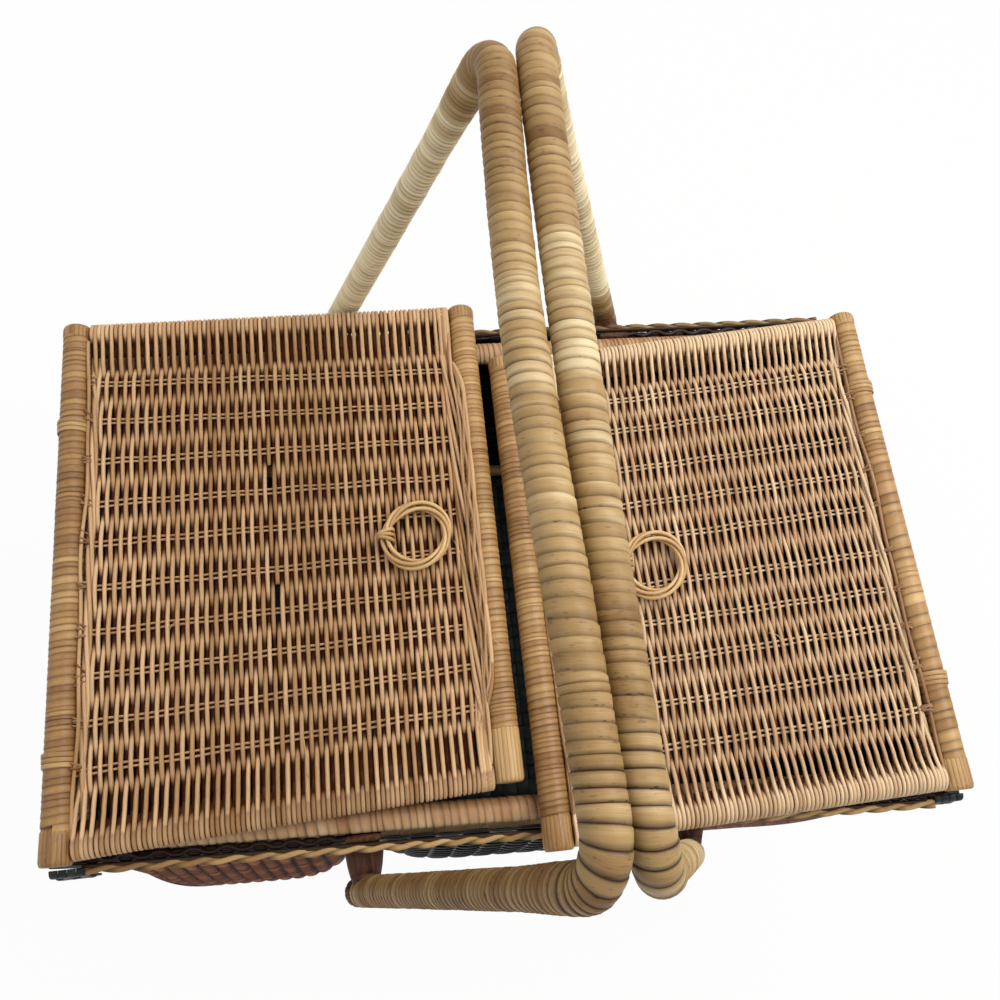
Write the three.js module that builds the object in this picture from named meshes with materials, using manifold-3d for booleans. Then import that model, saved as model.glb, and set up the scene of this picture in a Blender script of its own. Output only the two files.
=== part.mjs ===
// Half-round wicker picnic basket with two lids and two swing handles.
// Millimetres, +Z up. The origin is on the ground under the middle of the basket.
import * as THREE from 'three';
import { mergeVertices } from 'three/addons/utils/BufferGeometryUtils.js';
import Module from 'manifold-3d';

const wasm = await Module();
wasm.setup();

// Driving dimensions of the body
const BODY_RADIUS = 255;      // outside of the curved sheet, about the rim line
const FLAT_WIDTH = 240;       // flat at the bottom of the curved sheet
const SHEET = 6;              // thickness of the curved woven sheet
const SHEET_TOP = 1;          // how far the curved sheet stands above the rim line
const WALL_OUT = 153.5;       // from the middle to the outside of the front and back walls
const WALL = 4;               // thickness of a woven wall panel
const WALL_TOP = 3.2;         // how far the walls stand above the rim line
const BULGE = 11.5;           // how far the woven walls bulge out past a square wall
const SWELL_SPREAD = 5;       // the higher, the flatter the bulge is between its two edges
const SWELL_HEIGHT = 0.8;     // under 1 the walls bulge most below half their height
const FRONT_RACK = 0.031;     // slope of the front wall, which has gone out of square
const RIM_RADIUS = 7;         // wrapped rim bars
const HOOP_RADIUS = 5;        // bent cane inside the edge of each half-round face
const BRAID_RADIUS = 3;       // twisted two-strand border outside the rim
const BRAID_RISE = 1;         // middle of the border above the rim line
const CORNER_WIDTH = 18;      // dark strips bound over each corner
const CORNER_THICKNESS = 4.2;
const CORNER_HEIGHT = 30;
const CORNER_DROP = 26;       // foot of a corner binding below the rim line
const CORNER_CLEAR = 6;       // the walls start to bulge this far from a corner binding
const SOLE_HEIGHT = 10;       // flat board that the basket stands on
const SOLE_INSET = 10;        // edge of the board inside the flat of the sheet and the walls

// Driving dimensions of the pegs that carry the handles
const PEG_X = 92;
const PEG_RADIUS = 5;
const PEG_UNDER_RIM = 8.5;    // axis of a peg below the underside of the rim bar
const PEG_HEAD_RADIUS = 8;
const PEG_HEAD = 4;
const PEG_BITE = 2;           // end of a peg past the axis of the handle
const POST_WIDTH = 20;
const POST_BLOCK = 8;         // how far a post stands into the basket from the wall
const SPACER_BASE = 11;       // radius of a spacer at the wall
const SPACER_TIP = 9;         // radius of a spacer at the handle

// Driving dimensions of the handles
const HANDLE_RADIUS = 9;
const HANDLE_RISE = 239;      // axis of the grip above the pegs
const HANDLE_BEND = 20;       // radius of the two bends, on the axis
const HANDLE_TAIL = 12;       // how far a leg runs on past its peg
const GRIP_GAP = 0.6;         // between the two grips where they lean together
const HANDLE_FOOT = 15;       // how far a leg runs up straight before it leans outwards
const LEFT_SPLAY = [4, 4];    // front and back bends of the left handle out past its feet
const RIGHT_SPLAY = [0, 8];   // the same of the right handle, which has gone out of square

// Driving dimensions of the lids
const LID_GAP = 6;            // between the two lids
const LID_INSET = 2.5;        // edges of a lid, halfway along it, inside the outside of the walls
const LID_FLARE = 3.5;        // how far an outer pole runs past that, and an inner one stops short
const LEFT_SHIFT = 13;        // the left lid sits this far back
const RIGHT_SHIFT = -11.5;    // and the right one this far forward
const LEFT_RACK = 0.048;      // slope of the left lid, which has gone out of square
const RIGHT_RACK = 0.065;     // and of the right one
const LID_OVERHANG = 4.2;     // axis of a lid's outer pole past the axis of the end rim
const LID_SEAT = 0.5;         // between the lids and the rim bars
const POLE_RADIUS = 8.5;
const RAIL_RADIUS = 8;
const RAIL_INSET = 0.5;       // outside of a rail inside the ends of the poles
const PANEL = 7;              // thickness of a woven lid panel at its ridges
const PANEL_WAIST = 3.2;      // and midway between them
const ROW_PITCH = 24.2;       // from one ridge to the next: a row of rods lies in each
const ROW_SHIFT = 3.3;        // middle of the rows behind the middle of the panel
const HINGE_INSET = 58.5;     // cane hinge loops from the outside of the walls
const HINGE_WIDTH = 8;
const HINGE_CANE = 1.2;
const HINGE_PLAY = 0.25;      // between a hinge loop and the bars inside it

// Driving dimensions of the ring pulls, each two turns of thin cane
const RING_TURNS = 2;
const RING_RADIUS = 16.8;     // axis of the cane where the coil starts
const RING_SPREAD = 2;        // how far each turn lies outside the last
const RING_RISE = 2.2;        // how far each turn lies above the last
const RING_CANE = 1.25;       // radius of the cane
const RING_SEAT = 0.3;        // under the coil
const TIE_INSET = 66;         // tie from the inner edge of its lid
const TIE_SHIFT = 1.6;        // and from the middle of its lid, towards the middle of the basket
const TIE_RADIUS = 4.6;       // axis of the arched tie about the hinge of the ring
const TIE_CANE = 1.25;

// Clearances
const GAP = 0.3;              // between fixed pieces
const LOOP_GAP = 0.9;         // between a lid panel and the poles, where the hinge loops pass
const SLANT_GAP = 0.6;        // between a round piece and a wall that is out of square
const BORE_PLAY = 0.35;       // round a peg
const SWING_GAP = 0.6;        // between the handle legs and what they pass

// How finely the round pieces are cut
const BAR_SIDES = 20;
const CANE_SIDES = 6;
const HANDLE_SIDES = 14;
const HOOP_SIDES = 8;
const ARC_STEPS = 14;         // along each side of the half-round
const BEND_STEPS = 6;
const PANEL_STEPS = 10;       // across and up each wall panel
const RING_STEPS = 24;        // along each turn of a ring pull
const RIDGE_STEPS = 4;        // from one ridge of a lid panel to the next

// Heights and places that follow from the driving dimensions
const sheetBottom = SOLE_HEIGHT + GAP;
const bodyDrop = Math.sqrt(BODY_RADIUS ** 2 - (FLAT_WIDTH / 2) ** 2);
const rimZ = sheetBottom + bodyDrop;
const sheetInner = BODY_RADIUS - SHEET;
const wallIn = WALL_OUT - WALL;
const faceReach = WALL_OUT + BULGE;
const rimOffset = wallIn - GAP - RIM_RADIUS;
const endRimX = sheetInner - 2 * GAP - RIM_RADIUS;
const pegZ = rimZ - RIM_RADIUS - PEG_UNDER_RIM;
const lidZ = rimZ + RIM_RADIUS + LID_SEAT + POLE_RADIUS;
const hingeX = endRimX + LID_OVERHANG;
const lidLength = hingeX + POLE_RADIUS - LID_GAP / 2;
const lidMiddle = LID_GAP / 2 + lidLength / 2;
const lidDepth = 2 * (WALL_OUT - LID_INSET);
const hingeY = WALL_OUT - HINGE_INSET;
const poleX = lidLength / 2 - POLE_RADIUS;
const reachOf = (shift, rack) => lidDepth / 2 + Math.abs(shift) + Math.abs(rack * poleX - LID_FLARE);
const lidReach = Math.max(reachOf(LEFT_SHIFT, LEFT_RACK), reachOf(RIGHT_SHIFT, RIGHT_RACK));
const handleY = Math.max(lidReach, faceReach) + SWING_GAP + HANDLE_RADIUS;
const gripX = HANDLE_RADIUS + GRIP_GAP / 2;
const handleReach = Math.hypot(PEG_X - gripX, HANDLE_RISE);
const handleLean = Math.atan2(PEG_X - gripX, HANDLE_RISE);

// Finishes
const finish = (color, roughness) => new THREE.MeshStandardMaterial({ color, roughness, metalness: 0 });
const honeyCane = finish(0xc79a5b, 0.45);
const lidWeave = finish(0xa47a4c, 0.6);
const greenWeave = finish(0x1f2b25, 0.5);
const redWeave = finish(0x8a4a38, 0.6);
const darkWood = finish(0x6a4632, 0.5);

// Drops repeated corners and flat triangles, and turns the faces outwards
function closed(geometry) {
  const bare = geometry.clone();
  for (const name of Object.keys(bare.attributes)) {
    if (name !== 'position') bare.deleteAttribute(name);
  }
  const merged = mergeVertices(bare, 1e-4);
  const index = merged.index.array;
  const kept = [];
  const a = new THREE.Vector3();
  const b = new THREE.Vector3();
  const c = new THREE.Vector3();
  let volume = 0;
  for (let i = 0; i < index.length; i += 3) {
    const [p, q, r] = [index[i], index[i + 1], index[i + 2]];
    if (p === q || q === r || r === p) continue;
    kept.push(p, q, r);
    a.fromBufferAttribute(merged.attributes.position, p);
    b.fromBufferAttribute(merged.attributes.position, q);
    c.fromBufferAttribute(merged.attributes.position, r);
    volume += a.dot(b.cross(c));
  }
  merged.setIndex(volume < 0 ? kept.reverse() : kept);
  return merged;
}

// Moves every corner of a geometry by a rule
function reshape(geometry, rule) {
  const position = geometry.attributes.position;
  const point = new THREE.Vector3();
  for (let i = 0; i < position.count; i += 1) {
    point.fromBufferAttribute(position, i);
    rule(point);
    position.setXYZ(i, point.x, point.y, point.z);
  }
  return geometry;
}

function toSolid(geometry) {
  const merged = closed(geometry);
  return new wasm.Manifold(new wasm.Mesh({
    numProp: 3,
    vertProperties: new Float32Array(merged.attributes.position.array),
    triVerts: new Uint32Array(merged.index.array),
  }));
}

function cut(geometry, ...tools) {
  let solid = toSolid(geometry);
  for (const tool of tools) solid = solid.subtract(toSolid(tool));
  const mesh = solid.getMesh();
  const result = new THREE.BufferGeometry();
  result.setAttribute('position', new THREE.BufferAttribute(mesh.vertProperties, 3));
  result.setIndex(new THREE.BufferAttribute(mesh.triVerts, 1));
  return result;
}

function piece(group, name, geometry, material) {
  const mesh = new THREE.Mesh(closed(geometry), material);
  mesh.name = name;
  group.add(mesh);
  return mesh;
}

// A path through chosen points, with one step of a tube at each point
class Route extends THREE.Curve {
  constructor(points) {
    super();
    this.points = points;
  }

  getUtoTmapping(u) {
    return u;
  }

  getPoint(t, target = new THREE.Vector3()) {
    const place = t * (this.points.length - 1);
    const start = Math.min(Math.floor(place), this.points.length - 2);
    return target.lerpVectors(this.points[start], this.points[start + 1], place - start);
  }
}

function roundShape(radius, sides) {
  const points = [];
  for (let i = 0; i < sides; i += 1) {
    const turn = (2 * Math.PI * i) / sides;
    points.push(new THREE.Vector2(radius * Math.cos(turn), radius * Math.sin(turn)));
  }
  return new THREE.Shape(points);
}

function tube(points, radius, sides) {
  return new THREE.ExtrudeGeometry(roundShape(radius, sides), {
    steps: points.length - 1,
    extrudePath: new Route(points),
  });
}

// A round bar along X or Y, with grooves where a loop of cane goes round it
function barAlongX(length, radius, sides = BAR_SIDES) {
  return new THREE.CylinderGeometry(radius, radius, length, sides).rotateZ(Math.PI / 2);
}

function barAlongY(start, end, radius, grooves = []) {
  const core = radius - HINGE_CANE - 2 * HINGE_PLAY;
  const half = HINGE_WIDTH / 2 + GAP;
  const profile = [new THREE.Vector2(0, start), new THREE.Vector2(radius, start)];
  for (const y of grooves) {
    profile.push(new THREE.Vector2(radius, y - half));
    profile.push(new THREE.Vector2(core, y - half));
    profile.push(new THREE.Vector2(core, y + half));
    profile.push(new THREE.Vector2(radius, y + half));
  }
  profile.push(new THREE.Vector2(radius, end), new THREE.Vector2(0, end));
  return new THREE.LatheGeometry(profile, BAR_SIDES);
}

// The two walls. A wall is made as the front one, then racked, or turned round to the back.
const front = {
  name: 'front',
  lean: FRONT_RACK,
  place: (point) => {
    point.y -= FRONT_RACK * point.x;
  },
};
const back = {
  name: 'back',
  lean: 0,
  place: (point) => {
    point.y = -point.y;
  },
};
const wallAt = (side, x) => WALL_OUT + side.lean * x;

const basket = new THREE.Group();

// Outline of the half-round at some inset from its outside: an arc each side of a flat
function halfRound(inset, top) {
  const radius = BODY_RADIUS - inset;
  const flat = sheetBottom + inset;
  const last = Math.asin((rimZ - flat) / radius);
  const right = [];
  if (top > 0) right.push(new THREE.Vector2(radius, rimZ + top));
  const first = top > 0 ? 0 : Math.asin(-top / radius);
  for (let i = 0; i <= ARC_STEPS; i += 1) {
    const turn = first + ((last - first) * i) / ARC_STEPS;
    right.push(new THREE.Vector2(radius * Math.cos(turn), rimZ - radius * Math.sin(turn)));
  }
  const left = right.map((point) => new THREE.Vector2(-point.x, point.y)).reverse();
  return [...right, ...left];
}

// Flat board on the ground under the flat of the curved sheet
function makeSole() {
  const half = FLAT_WIDTH / 2 - SOLE_INSET;
  const depth = 2 * (WALL_OUT - SOLE_INSET - FRONT_RACK * half);
  const board = new THREE.BoxGeometry(2 * half, depth, SOLE_HEIGHT);
  piece(basket, 'sole', board.translate(0, 0, SOLE_HEIGHT / 2), greenWeave);
}

// One curved woven sheet makes the bottom and both ends
function makeSheet() {
  const outline = [...halfRound(0, SHEET_TOP), ...halfRound(SHEET, SHEET_TOP).reverse()];
  const sheet = new THREE.ExtrudeGeometry(new THREE.Shape(outline), { depth: 1, bevelEnabled: false });
  reshape(sheet, (point) => {
    const share = point.z;
    const height = point.y;
    const near = -wallAt(front, point.x);
    const far = wallAt(back, point.x);
    point.set(point.x, near + (far - near) * share, height);
  });
  piece(basket, 'curved_sheet', sheet, greenWeave);
}

// A woven wall panel between two edges, bulging outwards in its middle
function wallPanel(side, leftEdge, rightEdge) {
  const radius = sheetInner - GAP;
  const flat = sheetBottom + SHEET + GAP;
  const last = Math.asin((rimZ - flat) / radius);
  const cornerInner = BODY_RADIUS - CORNER_WIDTH - CORNER_CLEAR;
  const start = Math.max(leftEdge, -cornerInner);
  const end = Math.min(rightEdge, cornerInner);
  const panel = new THREE.BoxGeometry(1, 1, 1, PANEL_STEPS, 1, PANEL_STEPS);
  const topStep = 1 / PANEL_STEPS;
  reshape(panel, (point) => {
    const along = point.x + 0.5;
    const rise = (point.z + 0.5) / (1 - topStep);
    const turn = last * (1 - Math.min(rise, 1));
    const z = rise > 1 + 1e-6 ? rimZ + WALL_TOP : rimZ - radius * Math.sin(turn);
    const reach = radius * Math.cos(turn);
    const left = Math.max(leftEdge, -reach);
    const right = Math.min(rightEdge, reach);
    const x = left + (right - left) * along;
    const bulge = faceReach - wallAt(side, (start + end) / 2);
    const across = THREE.MathUtils.clamp((x - start) / (end - start), 0, 1);
    const level = 1 - Math.abs(2 * across - 1) ** SWELL_SPREAD;
    const swell = level * Math.sin(Math.PI * Math.min(rise, 1) ** SWELL_HEIGHT);
    const depth = WALL_OUT - WALL / 2 - point.y * WALL + bulge * swell;
    point.set(x, -depth, z);
  });
  return reshape(panel, side.place);
}

function makeWall(side) {
  const placed = (geometry) => reshape(geometry, side.place);
  const postEdge = PEG_X + POST_WIDTH / 2 + GAP;
  const centreEdge = PEG_X - POST_WIDTH / 2 - GAP;
  piece(basket, `${side.name}_left_panel`, wallPanel(side, -BODY_RADIUS, -postEdge), redWeave);
  piece(basket, `${side.name}_centre_panel`, wallPanel(side, -centreEdge, centreEdge), greenWeave);
  piece(basket, `${side.name}_right_panel`, wallPanel(side, postEdge, BODY_RADIUS), redWeave);

  const rim = barAlongX(2 * (sheetInner - 2 * GAP), RIM_RADIUS).translate(0, -rimOffset, rimZ);
  piece(basket, `${side.name}_rim`, placed(rim), honeyCane);

  const hoopY = -(wallIn - GAP - HOOP_RADIUS);
  const hoopLine = halfRound(SHEET + GAP + HOOP_RADIUS, -(RIM_RADIUS + GAP));
  const hoopPoints = hoopLine.map((point) => new THREE.Vector3(point.x, hoopY, point.y));
  piece(basket, `${side.name}_hoop`, placed(tube(hoopPoints, HOOP_RADIUS, HOOP_SIDES)), honeyCane);

  const cornerInner = BODY_RADIUS - CORNER_WIDTH;
  const braid = barAlongX(2 * (cornerInner - GAP), BRAID_RADIUS, 12);
  braid.translate(0, -(WALL_OUT + GAP + BRAID_RADIUS), rimZ + BRAID_RISE);
  piece(basket, `${side.name}_braid`, placed(braid), honeyCane);

  for (const [word, sign] of [['left', -1], ['right', 1]]) {
    const corner = new THREE.BoxGeometry(CORNER_WIDTH, CORNER_THICKNESS, CORNER_HEIGHT);
    const cornerX = sign * (BODY_RADIUS - CORNER_WIDTH / 2);
    const cornerZ = rimZ - CORNER_DROP + CORNER_HEIGHT / 2;
    corner.translate(cornerX, -(WALL_OUT + GAP + CORNER_THICKNESS / 2), cornerZ);
    piece(basket, `${side.name}_${word}_corner`, placed(corner), greenWeave);
    makePegGroup(side, word, sign * PEG_X);
  }
}

// A round piece on a peg's axis, drawn as distances out from the middle of the basket
function onPeg(side, x, profile) {
  const points = profile.map(([radius, out]) => new THREE.Vector2(radius, out));
  const turned = new THREE.LatheGeometry(points, BAR_SIDES);
  return turned.rotateZ(side === front ? Math.PI : 0).translate(x, 0, pegZ);
}

// The post in the wall, the peg through it, and the tapered spacer between wall and handle
function makePegGroup(side, word, x) {
  const wall = wallAt(side, x);
  const blockIn = wallIn - POST_BLOCK;
  const wallFoot = sheetBottom + SHEET + GAP;
  const wallHead = rimZ + WALL_TOP;
  const blockHead = rimZ - RIM_RADIUS - GAP;
  const farEdge = Math.abs(x) + POST_WIDTH / 2;
  const hoopInner = BODY_RADIUS - SHEET - GAP - 2 * HOOP_RADIUS;
  const hoopFlat = sheetBottom + SHEET + GAP + 2 * HOOP_RADIUS;
  const blockFoot = GAP + Math.max(hoopFlat, rimZ - Math.sqrt(hoopInner ** 2 - farEdge ** 2));
  const outline = [
    [-WALL_OUT, wallFoot], [-WALL_OUT, wallHead], [-wallIn, wallHead], [-wallIn, blockHead],
    [-blockIn, blockHead], [-blockIn, blockFoot], [-wallIn, blockFoot], [-wallIn, wallFoot],
  ].map(([y, z]) => new THREE.Vector2(y, z));
  const post = new THREE.ExtrudeGeometry(new THREE.Shape(outline), { depth: POST_WIDTH, bevelEnabled: false });
  reshape(post, (point) => point.set(x - POST_WIDTH / 2 + point.z, point.x, point.y));
  reshape(post, side.place);
  const boreRadius = PEG_RADIUS + BORE_PLAY;
  const bore = onPeg(side, x, [[0, 0], [boreRadius, 0], [boreRadius, 2 * wall], [0, 2 * wall]]);
  piece(basket, `${side.name}_${word}_post`, cut(post, bore), darkWood);

  const headOut = wall - WALL - POST_BLOCK - SLANT_GAP;
  const pegEnd = handleY + PEG_BITE;
  const peg = onPeg(side, x, [
    [0, headOut - PEG_HEAD], [PEG_HEAD_RADIUS, headOut - PEG_HEAD], [PEG_HEAD_RADIUS, headOut],
    [PEG_RADIUS, headOut], [PEG_RADIUS, pegEnd], [0, pegEnd],
  ]);
  piece(basket, `${side.name}_${word}_peg`, peg, darkWood);

  const spacerIn = wall + SLANT_GAP;
  const spacerOut = handleY - HANDLE_RADIUS - GAP;
  const spacer = onPeg(side, x, [
    [boreRadius, spacerIn], [SPACER_BASE, spacerIn], [SPACER_TIP, spacerOut],
    [boreRadius, spacerOut], [boreRadius, spacerIn],
  ]);
  piece(basket, `${side.name}_${word}_spacer`, spacer, darkWood);
}

// Wrapped bar across each end, between the front and back rims
function makeEndRim(word, sign) {
  const x = sign * endRimX;
  const start = -(rimOffset + FRONT_RACK * x) + RIM_RADIUS + SLANT_GAP;
  const end = rimOffset - RIM_RADIUS - GAP;
  const bar = barAlongY(start, end, RIM_RADIUS, [-hingeY, hingeY]).translate(x, 0, rimZ);
  piece(basket, `${word}_rim`, bar, honeyCane);
}

// Outline of a belt round two circles
function beltPath(path, a, radiusA, b, radiusB) {
  const along = Math.atan2(b.y - a.y, b.x - a.x);
  const open = Math.acos((radiusA - radiusB) / a.distanceTo(b));
  path.absarc(a.x, a.y, radiusA, along + open, along - open + 2 * Math.PI, false);
  path.absarc(b.x, b.y, radiusB, along - open, along + open, false);
  return path;
}

// Flat loop of cane that ties a lid's outer pole to the end rim and lets it turn
function hingeLoop(sign, y) {
  const pole = new THREE.Vector2(sign * hingeX, lidZ);
  const rim = new THREE.Vector2(sign * endRimX, rimZ);
  const outside = HINGE_PLAY;
  const inside = HINGE_PLAY + HINGE_CANE;
  const band = beltPath(new THREE.Shape(), pole, POLE_RADIUS - outside, rim, RIM_RADIUS - outside);
  band.holes.push(beltPath(new THREE.Path(), pole, POLE_RADIUS - inside, rim, RIM_RADIUS - inside));
  const loop = new THREE.ExtrudeGeometry(band, {
    depth: HINGE_WIDTH, bevelEnabled: false, curveSegments: BAR_SIDES,
  });
  return reshape(loop, (point) => point.set(point.x, y - HINGE_WIDTH / 2 + point.z, point.y));
}

// Half the thickness of a woven lid panel, which rises to a ridge over each row of rods
function webRise(y) {
  const ridge = (1 - Math.cos((2 * Math.PI * (y - ROW_SHIFT)) / ROW_PITCH)) / 2;
  return (PANEL_WAIST + (PANEL - PANEL_WAIST) * ridge) / 2;
}

// A woven lid panel of some length along X, from one rail to the other
function webPanel(length, edge) {
  const step = ROW_PITCH / RIDGE_STEPS;
  const top = [new THREE.Vector2(-edge, webRise(-edge))];
  for (let i = Math.ceil((1 - edge - ROW_SHIFT) / step); ROW_SHIFT + i * step < edge - 1; i += 1) {
    top.push(new THREE.Vector2(ROW_SHIFT + i * step, webRise(ROW_SHIFT + i * step)));
  }
  top.push(new THREE.Vector2(edge, webRise(edge)));
  const under = top.map((point) => new THREE.Vector2(point.x, -point.y)).reverse();
  const panel = new THREE.ExtrudeGeometry(new THREE.Shape([...top, ...under]), {
    depth: length, bevelEnabled: false,
  });
  return reshape(panel, (point) => point.set(point.z - length / 2, point.x, point.y));
}

// A lid: two poles, two rails between them, and the woven panel inside that frame
function makeLid(word, sign, shift, rack) {
  const lid = new THREE.Group();
  lid.position.set(sign * lidMiddle, shift, lidZ);
  const flare = (sign * LID_FLARE) / (poleX * (lidDepth / 2));
  const outOfSquare = (point) => {
    point.y += rack * point.x + flare * point.x * point.y;
  };
  const outerX = sign * poleX;
  const outerY = rack * outerX;
  const outerEnd = lidDepth / 2 + LID_FLARE;
  const innerEnd = lidDepth / 2 - LID_FLARE;
  const grooves = [-hingeY, hingeY].map((y) => y - shift - outerY);
  const outer = barAlongY(-outerEnd, outerEnd, POLE_RADIUS, grooves);
  piece(lid, `${word}_lid_outer_pole`, outer.translate(outerX, outerY, 0), honeyCane);
  const inner = barAlongY(-innerEnd, innerEnd, POLE_RADIUS);
  piece(lid, `${word}_lid_inner_pole`, inner.translate(-outerX, -outerY, 0), honeyCane);

  const clearLength = 2 * (poleX - POLE_RADIUS - GAP);
  const railY = lidDepth / 2 - RAIL_INSET - RAIL_RADIUS;
  for (const [end, way] of [['front', -1], ['back', 1]]) {
    const rail = barAlongX(clearLength, RAIL_RADIUS).translate(0, way * railY, 0);
    piece(lid, `${word}_lid_${end}_rail`, reshape(rail, outOfSquare), lidWeave);
  }
  const panel = webPanel(2 * (poleX - POLE_RADIUS - LOOP_GAP), railY - RAIL_RADIUS - GAP);
  piece(lid, `${word}_lid_panel`, reshape(panel, outOfSquare), lidWeave);
  makeRing(lid, word, sign, rack);
  basket.add(lid);
}

// The coil of a ring pull about its own middle: it starts and ends straight, away from the tie
function ringPoints() {
  const points = [];
  for (let i = 0; i <= RING_TURNS * RING_STEPS; i += 1) {
    const turns = i / RING_STEPS;
    const angle = 2 * Math.PI * turns;
    const radius = RING_RADIUS + RING_SPREAD * turns;
    points.push(new THREE.Vector3(radius * Math.cos(angle), radius * Math.sin(angle), RING_RISE * turns));
  }
  const tail = (end, next) => end.clone().addScaledVector(end.clone().sub(next).normalize(), 2 * RING_CANE);
  const last = points.length - 1;
  return [tail(points[0], points[1]), ...points, tail(points[last], points[last - 1])];
}

// Least clear space between the turns of a coil, measured between points over half a turn apart
function coilGap(points) {
  let least = Infinity;
  for (let i = 0; i < points.length; i += 1) {
    for (let j = i + RING_STEPS / 2; j < points.length; j += 1) {
      least = Math.min(least, points[i].distanceTo(points[j]));
    }
  }
  return least - 2 * RING_CANE;
}

// A ring pull lying on its lid, and the arched tie that holds its left side
function makeRing(lid, word, sign, rack) {
  const points = ringPoints();
  console.log(`${word} ring pull: least gap between turns ${coilGap(points).toFixed(2)} mm`);
  const half = RING_TURNS / 2;
  const bundleRadius = RING_RADIUS + RING_SPREAD * half;
  const bundleRise = RING_RISE * half;
  const tieX = sign * (TIE_INSET - lidLength / 2);
  const tieY = rack * tieX + sign * TIE_SHIFT;
  const hingeRise = PANEL / 2 + RING_SEAT + RING_CANE + bundleRise;
  const ring = tube(points, RING_CANE, CANE_SIDES);
  ring.translate(tieX + bundleRadius, tieY, hingeRise - bundleRise);
  piece(lid, `${word}_ring`, ring, honeyCane);

  const arch = [];
  const besideTie = [-TIE_CANE, TIE_CANE].map((way) => webRise(sign * TIE_SHIFT + way));
  const footZ = Math.max(...besideTie) + GAP;
  arch.push(new THREE.Vector3(tieX - TIE_RADIUS, tieY, footZ));
  for (let i = 0; i <= 2 * BEND_STEPS; i += 1) {
    const turn = Math.PI - (Math.PI * i) / (2 * BEND_STEPS);
    const x = tieX + TIE_RADIUS * Math.cos(turn);
    arch.push(new THREE.Vector3(x, tieY, hingeRise + TIE_RADIUS * Math.sin(turn)));
  }
  arch.push(new THREE.Vector3(tieX + TIE_RADIUS, tieY, footZ));
  piece(lid, `${word}_ring_tie`, tube(arch, TIE_CANE, CANE_SIDES), honeyCane);
}

// A swing handle: one bent pole, bored on the inside of each foot for its peg
function makeHandle(word, sign, splay) {
  const handle = new THREE.Group();
  handle.position.set(sign * PEG_X, 0, pegZ);
  handle.rotation.y = -sign * handleLean;
  const foot = (way) => new THREE.Vector3(0, way * handleY, -HANDLE_TAIL);
  const knee = (way) => new THREE.Vector3(0, way * handleY, HANDLE_FOOT);
  const points = [foot(-1), knee(-1)];
  for (const [way, out] of [[-1, splay[0]], [1, splay[1]]]) {
    const bendY = handleY + out - HANDLE_BEND;
    for (let i = 0; i <= BEND_STEPS; i += 1) {
      const share = way < 0 ? i / BEND_STEPS : 1 - i / BEND_STEPS;
      const turn = (Math.PI / 2) * share;
      const y = way * (bendY + HANDLE_BEND * Math.cos(turn));
      points.push(new THREE.Vector3(0, y, handleReach - HANDLE_BEND + HANDLE_BEND * Math.sin(turn)));
    }
  }
  points.push(knee(1), foot(1));
  const boreLength = 2 * (handleY + PEG_BITE + GAP);
  const bore = new THREE.CylinderGeometry(PEG_RADIUS + BORE_PLAY, PEG_RADIUS + BORE_PLAY, boreLength, BAR_SIDES);
  piece(handle, `${word}_handle`, cut(tube(points, HANDLE_RADIUS, HANDLE_SIDES), bore), honeyCane);
  basket.add(handle);
}

makeSole();
makeSheet();
makeWall(front);
makeWall(back);
makeLid('left', -1, LEFT_SHIFT, LEFT_RACK);
makeLid('right', 1, RIGHT_SHIFT, RIGHT_RACK);
makeHandle('left', -1, LEFT_SPLAY);
makeHandle('right', 1, RIGHT_SPLAY);
for (const [word, sign] of [['left', -1], ['right', 1]]) {
  makeEndRim(word, sign);
  piece(basket, `${word}_front_hinge_loop`, hingeLoop(sign, -hingeY), honeyCane);
  piece(basket, `${word}_back_hinge_loop`, hingeLoop(sign, hingeY), honeyCane);
}

export default basket;
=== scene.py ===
import math

import bmesh
import bpy
import numpy as np
from mathutils import Matrix, Vector


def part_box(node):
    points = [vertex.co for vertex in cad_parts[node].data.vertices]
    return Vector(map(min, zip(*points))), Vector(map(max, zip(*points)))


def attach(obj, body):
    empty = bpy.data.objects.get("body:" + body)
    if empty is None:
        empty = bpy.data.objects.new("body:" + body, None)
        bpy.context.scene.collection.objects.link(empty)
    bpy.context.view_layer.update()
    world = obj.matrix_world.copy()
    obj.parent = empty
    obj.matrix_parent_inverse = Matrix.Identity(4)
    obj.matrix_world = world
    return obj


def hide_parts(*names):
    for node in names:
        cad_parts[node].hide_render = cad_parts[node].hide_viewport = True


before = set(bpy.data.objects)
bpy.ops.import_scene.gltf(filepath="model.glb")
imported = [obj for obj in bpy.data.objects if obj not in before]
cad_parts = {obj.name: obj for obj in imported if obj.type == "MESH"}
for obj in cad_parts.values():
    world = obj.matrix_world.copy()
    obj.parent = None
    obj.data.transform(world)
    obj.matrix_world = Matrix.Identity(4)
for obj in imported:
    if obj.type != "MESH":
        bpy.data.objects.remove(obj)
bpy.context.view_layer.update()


# The sole is the flat board that the basket stands on, under the flat of its curved bottom.
# It is softwood stained dark green, its edges eased, and the weave above is tacked down to it.
SOLE_EASE = 0.0025
SOLE_PALE = (0.034, 0.048, 0.038, 1)
SOLE_DEEP = (0.012, 0.018, 0.014, 1)
GRAIN_ALONG = 22           # how closely the grain of a timber varies along it, per metre
GRAIN_ACROSS = 380
WOOD_SHINE = 0.14


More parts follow.
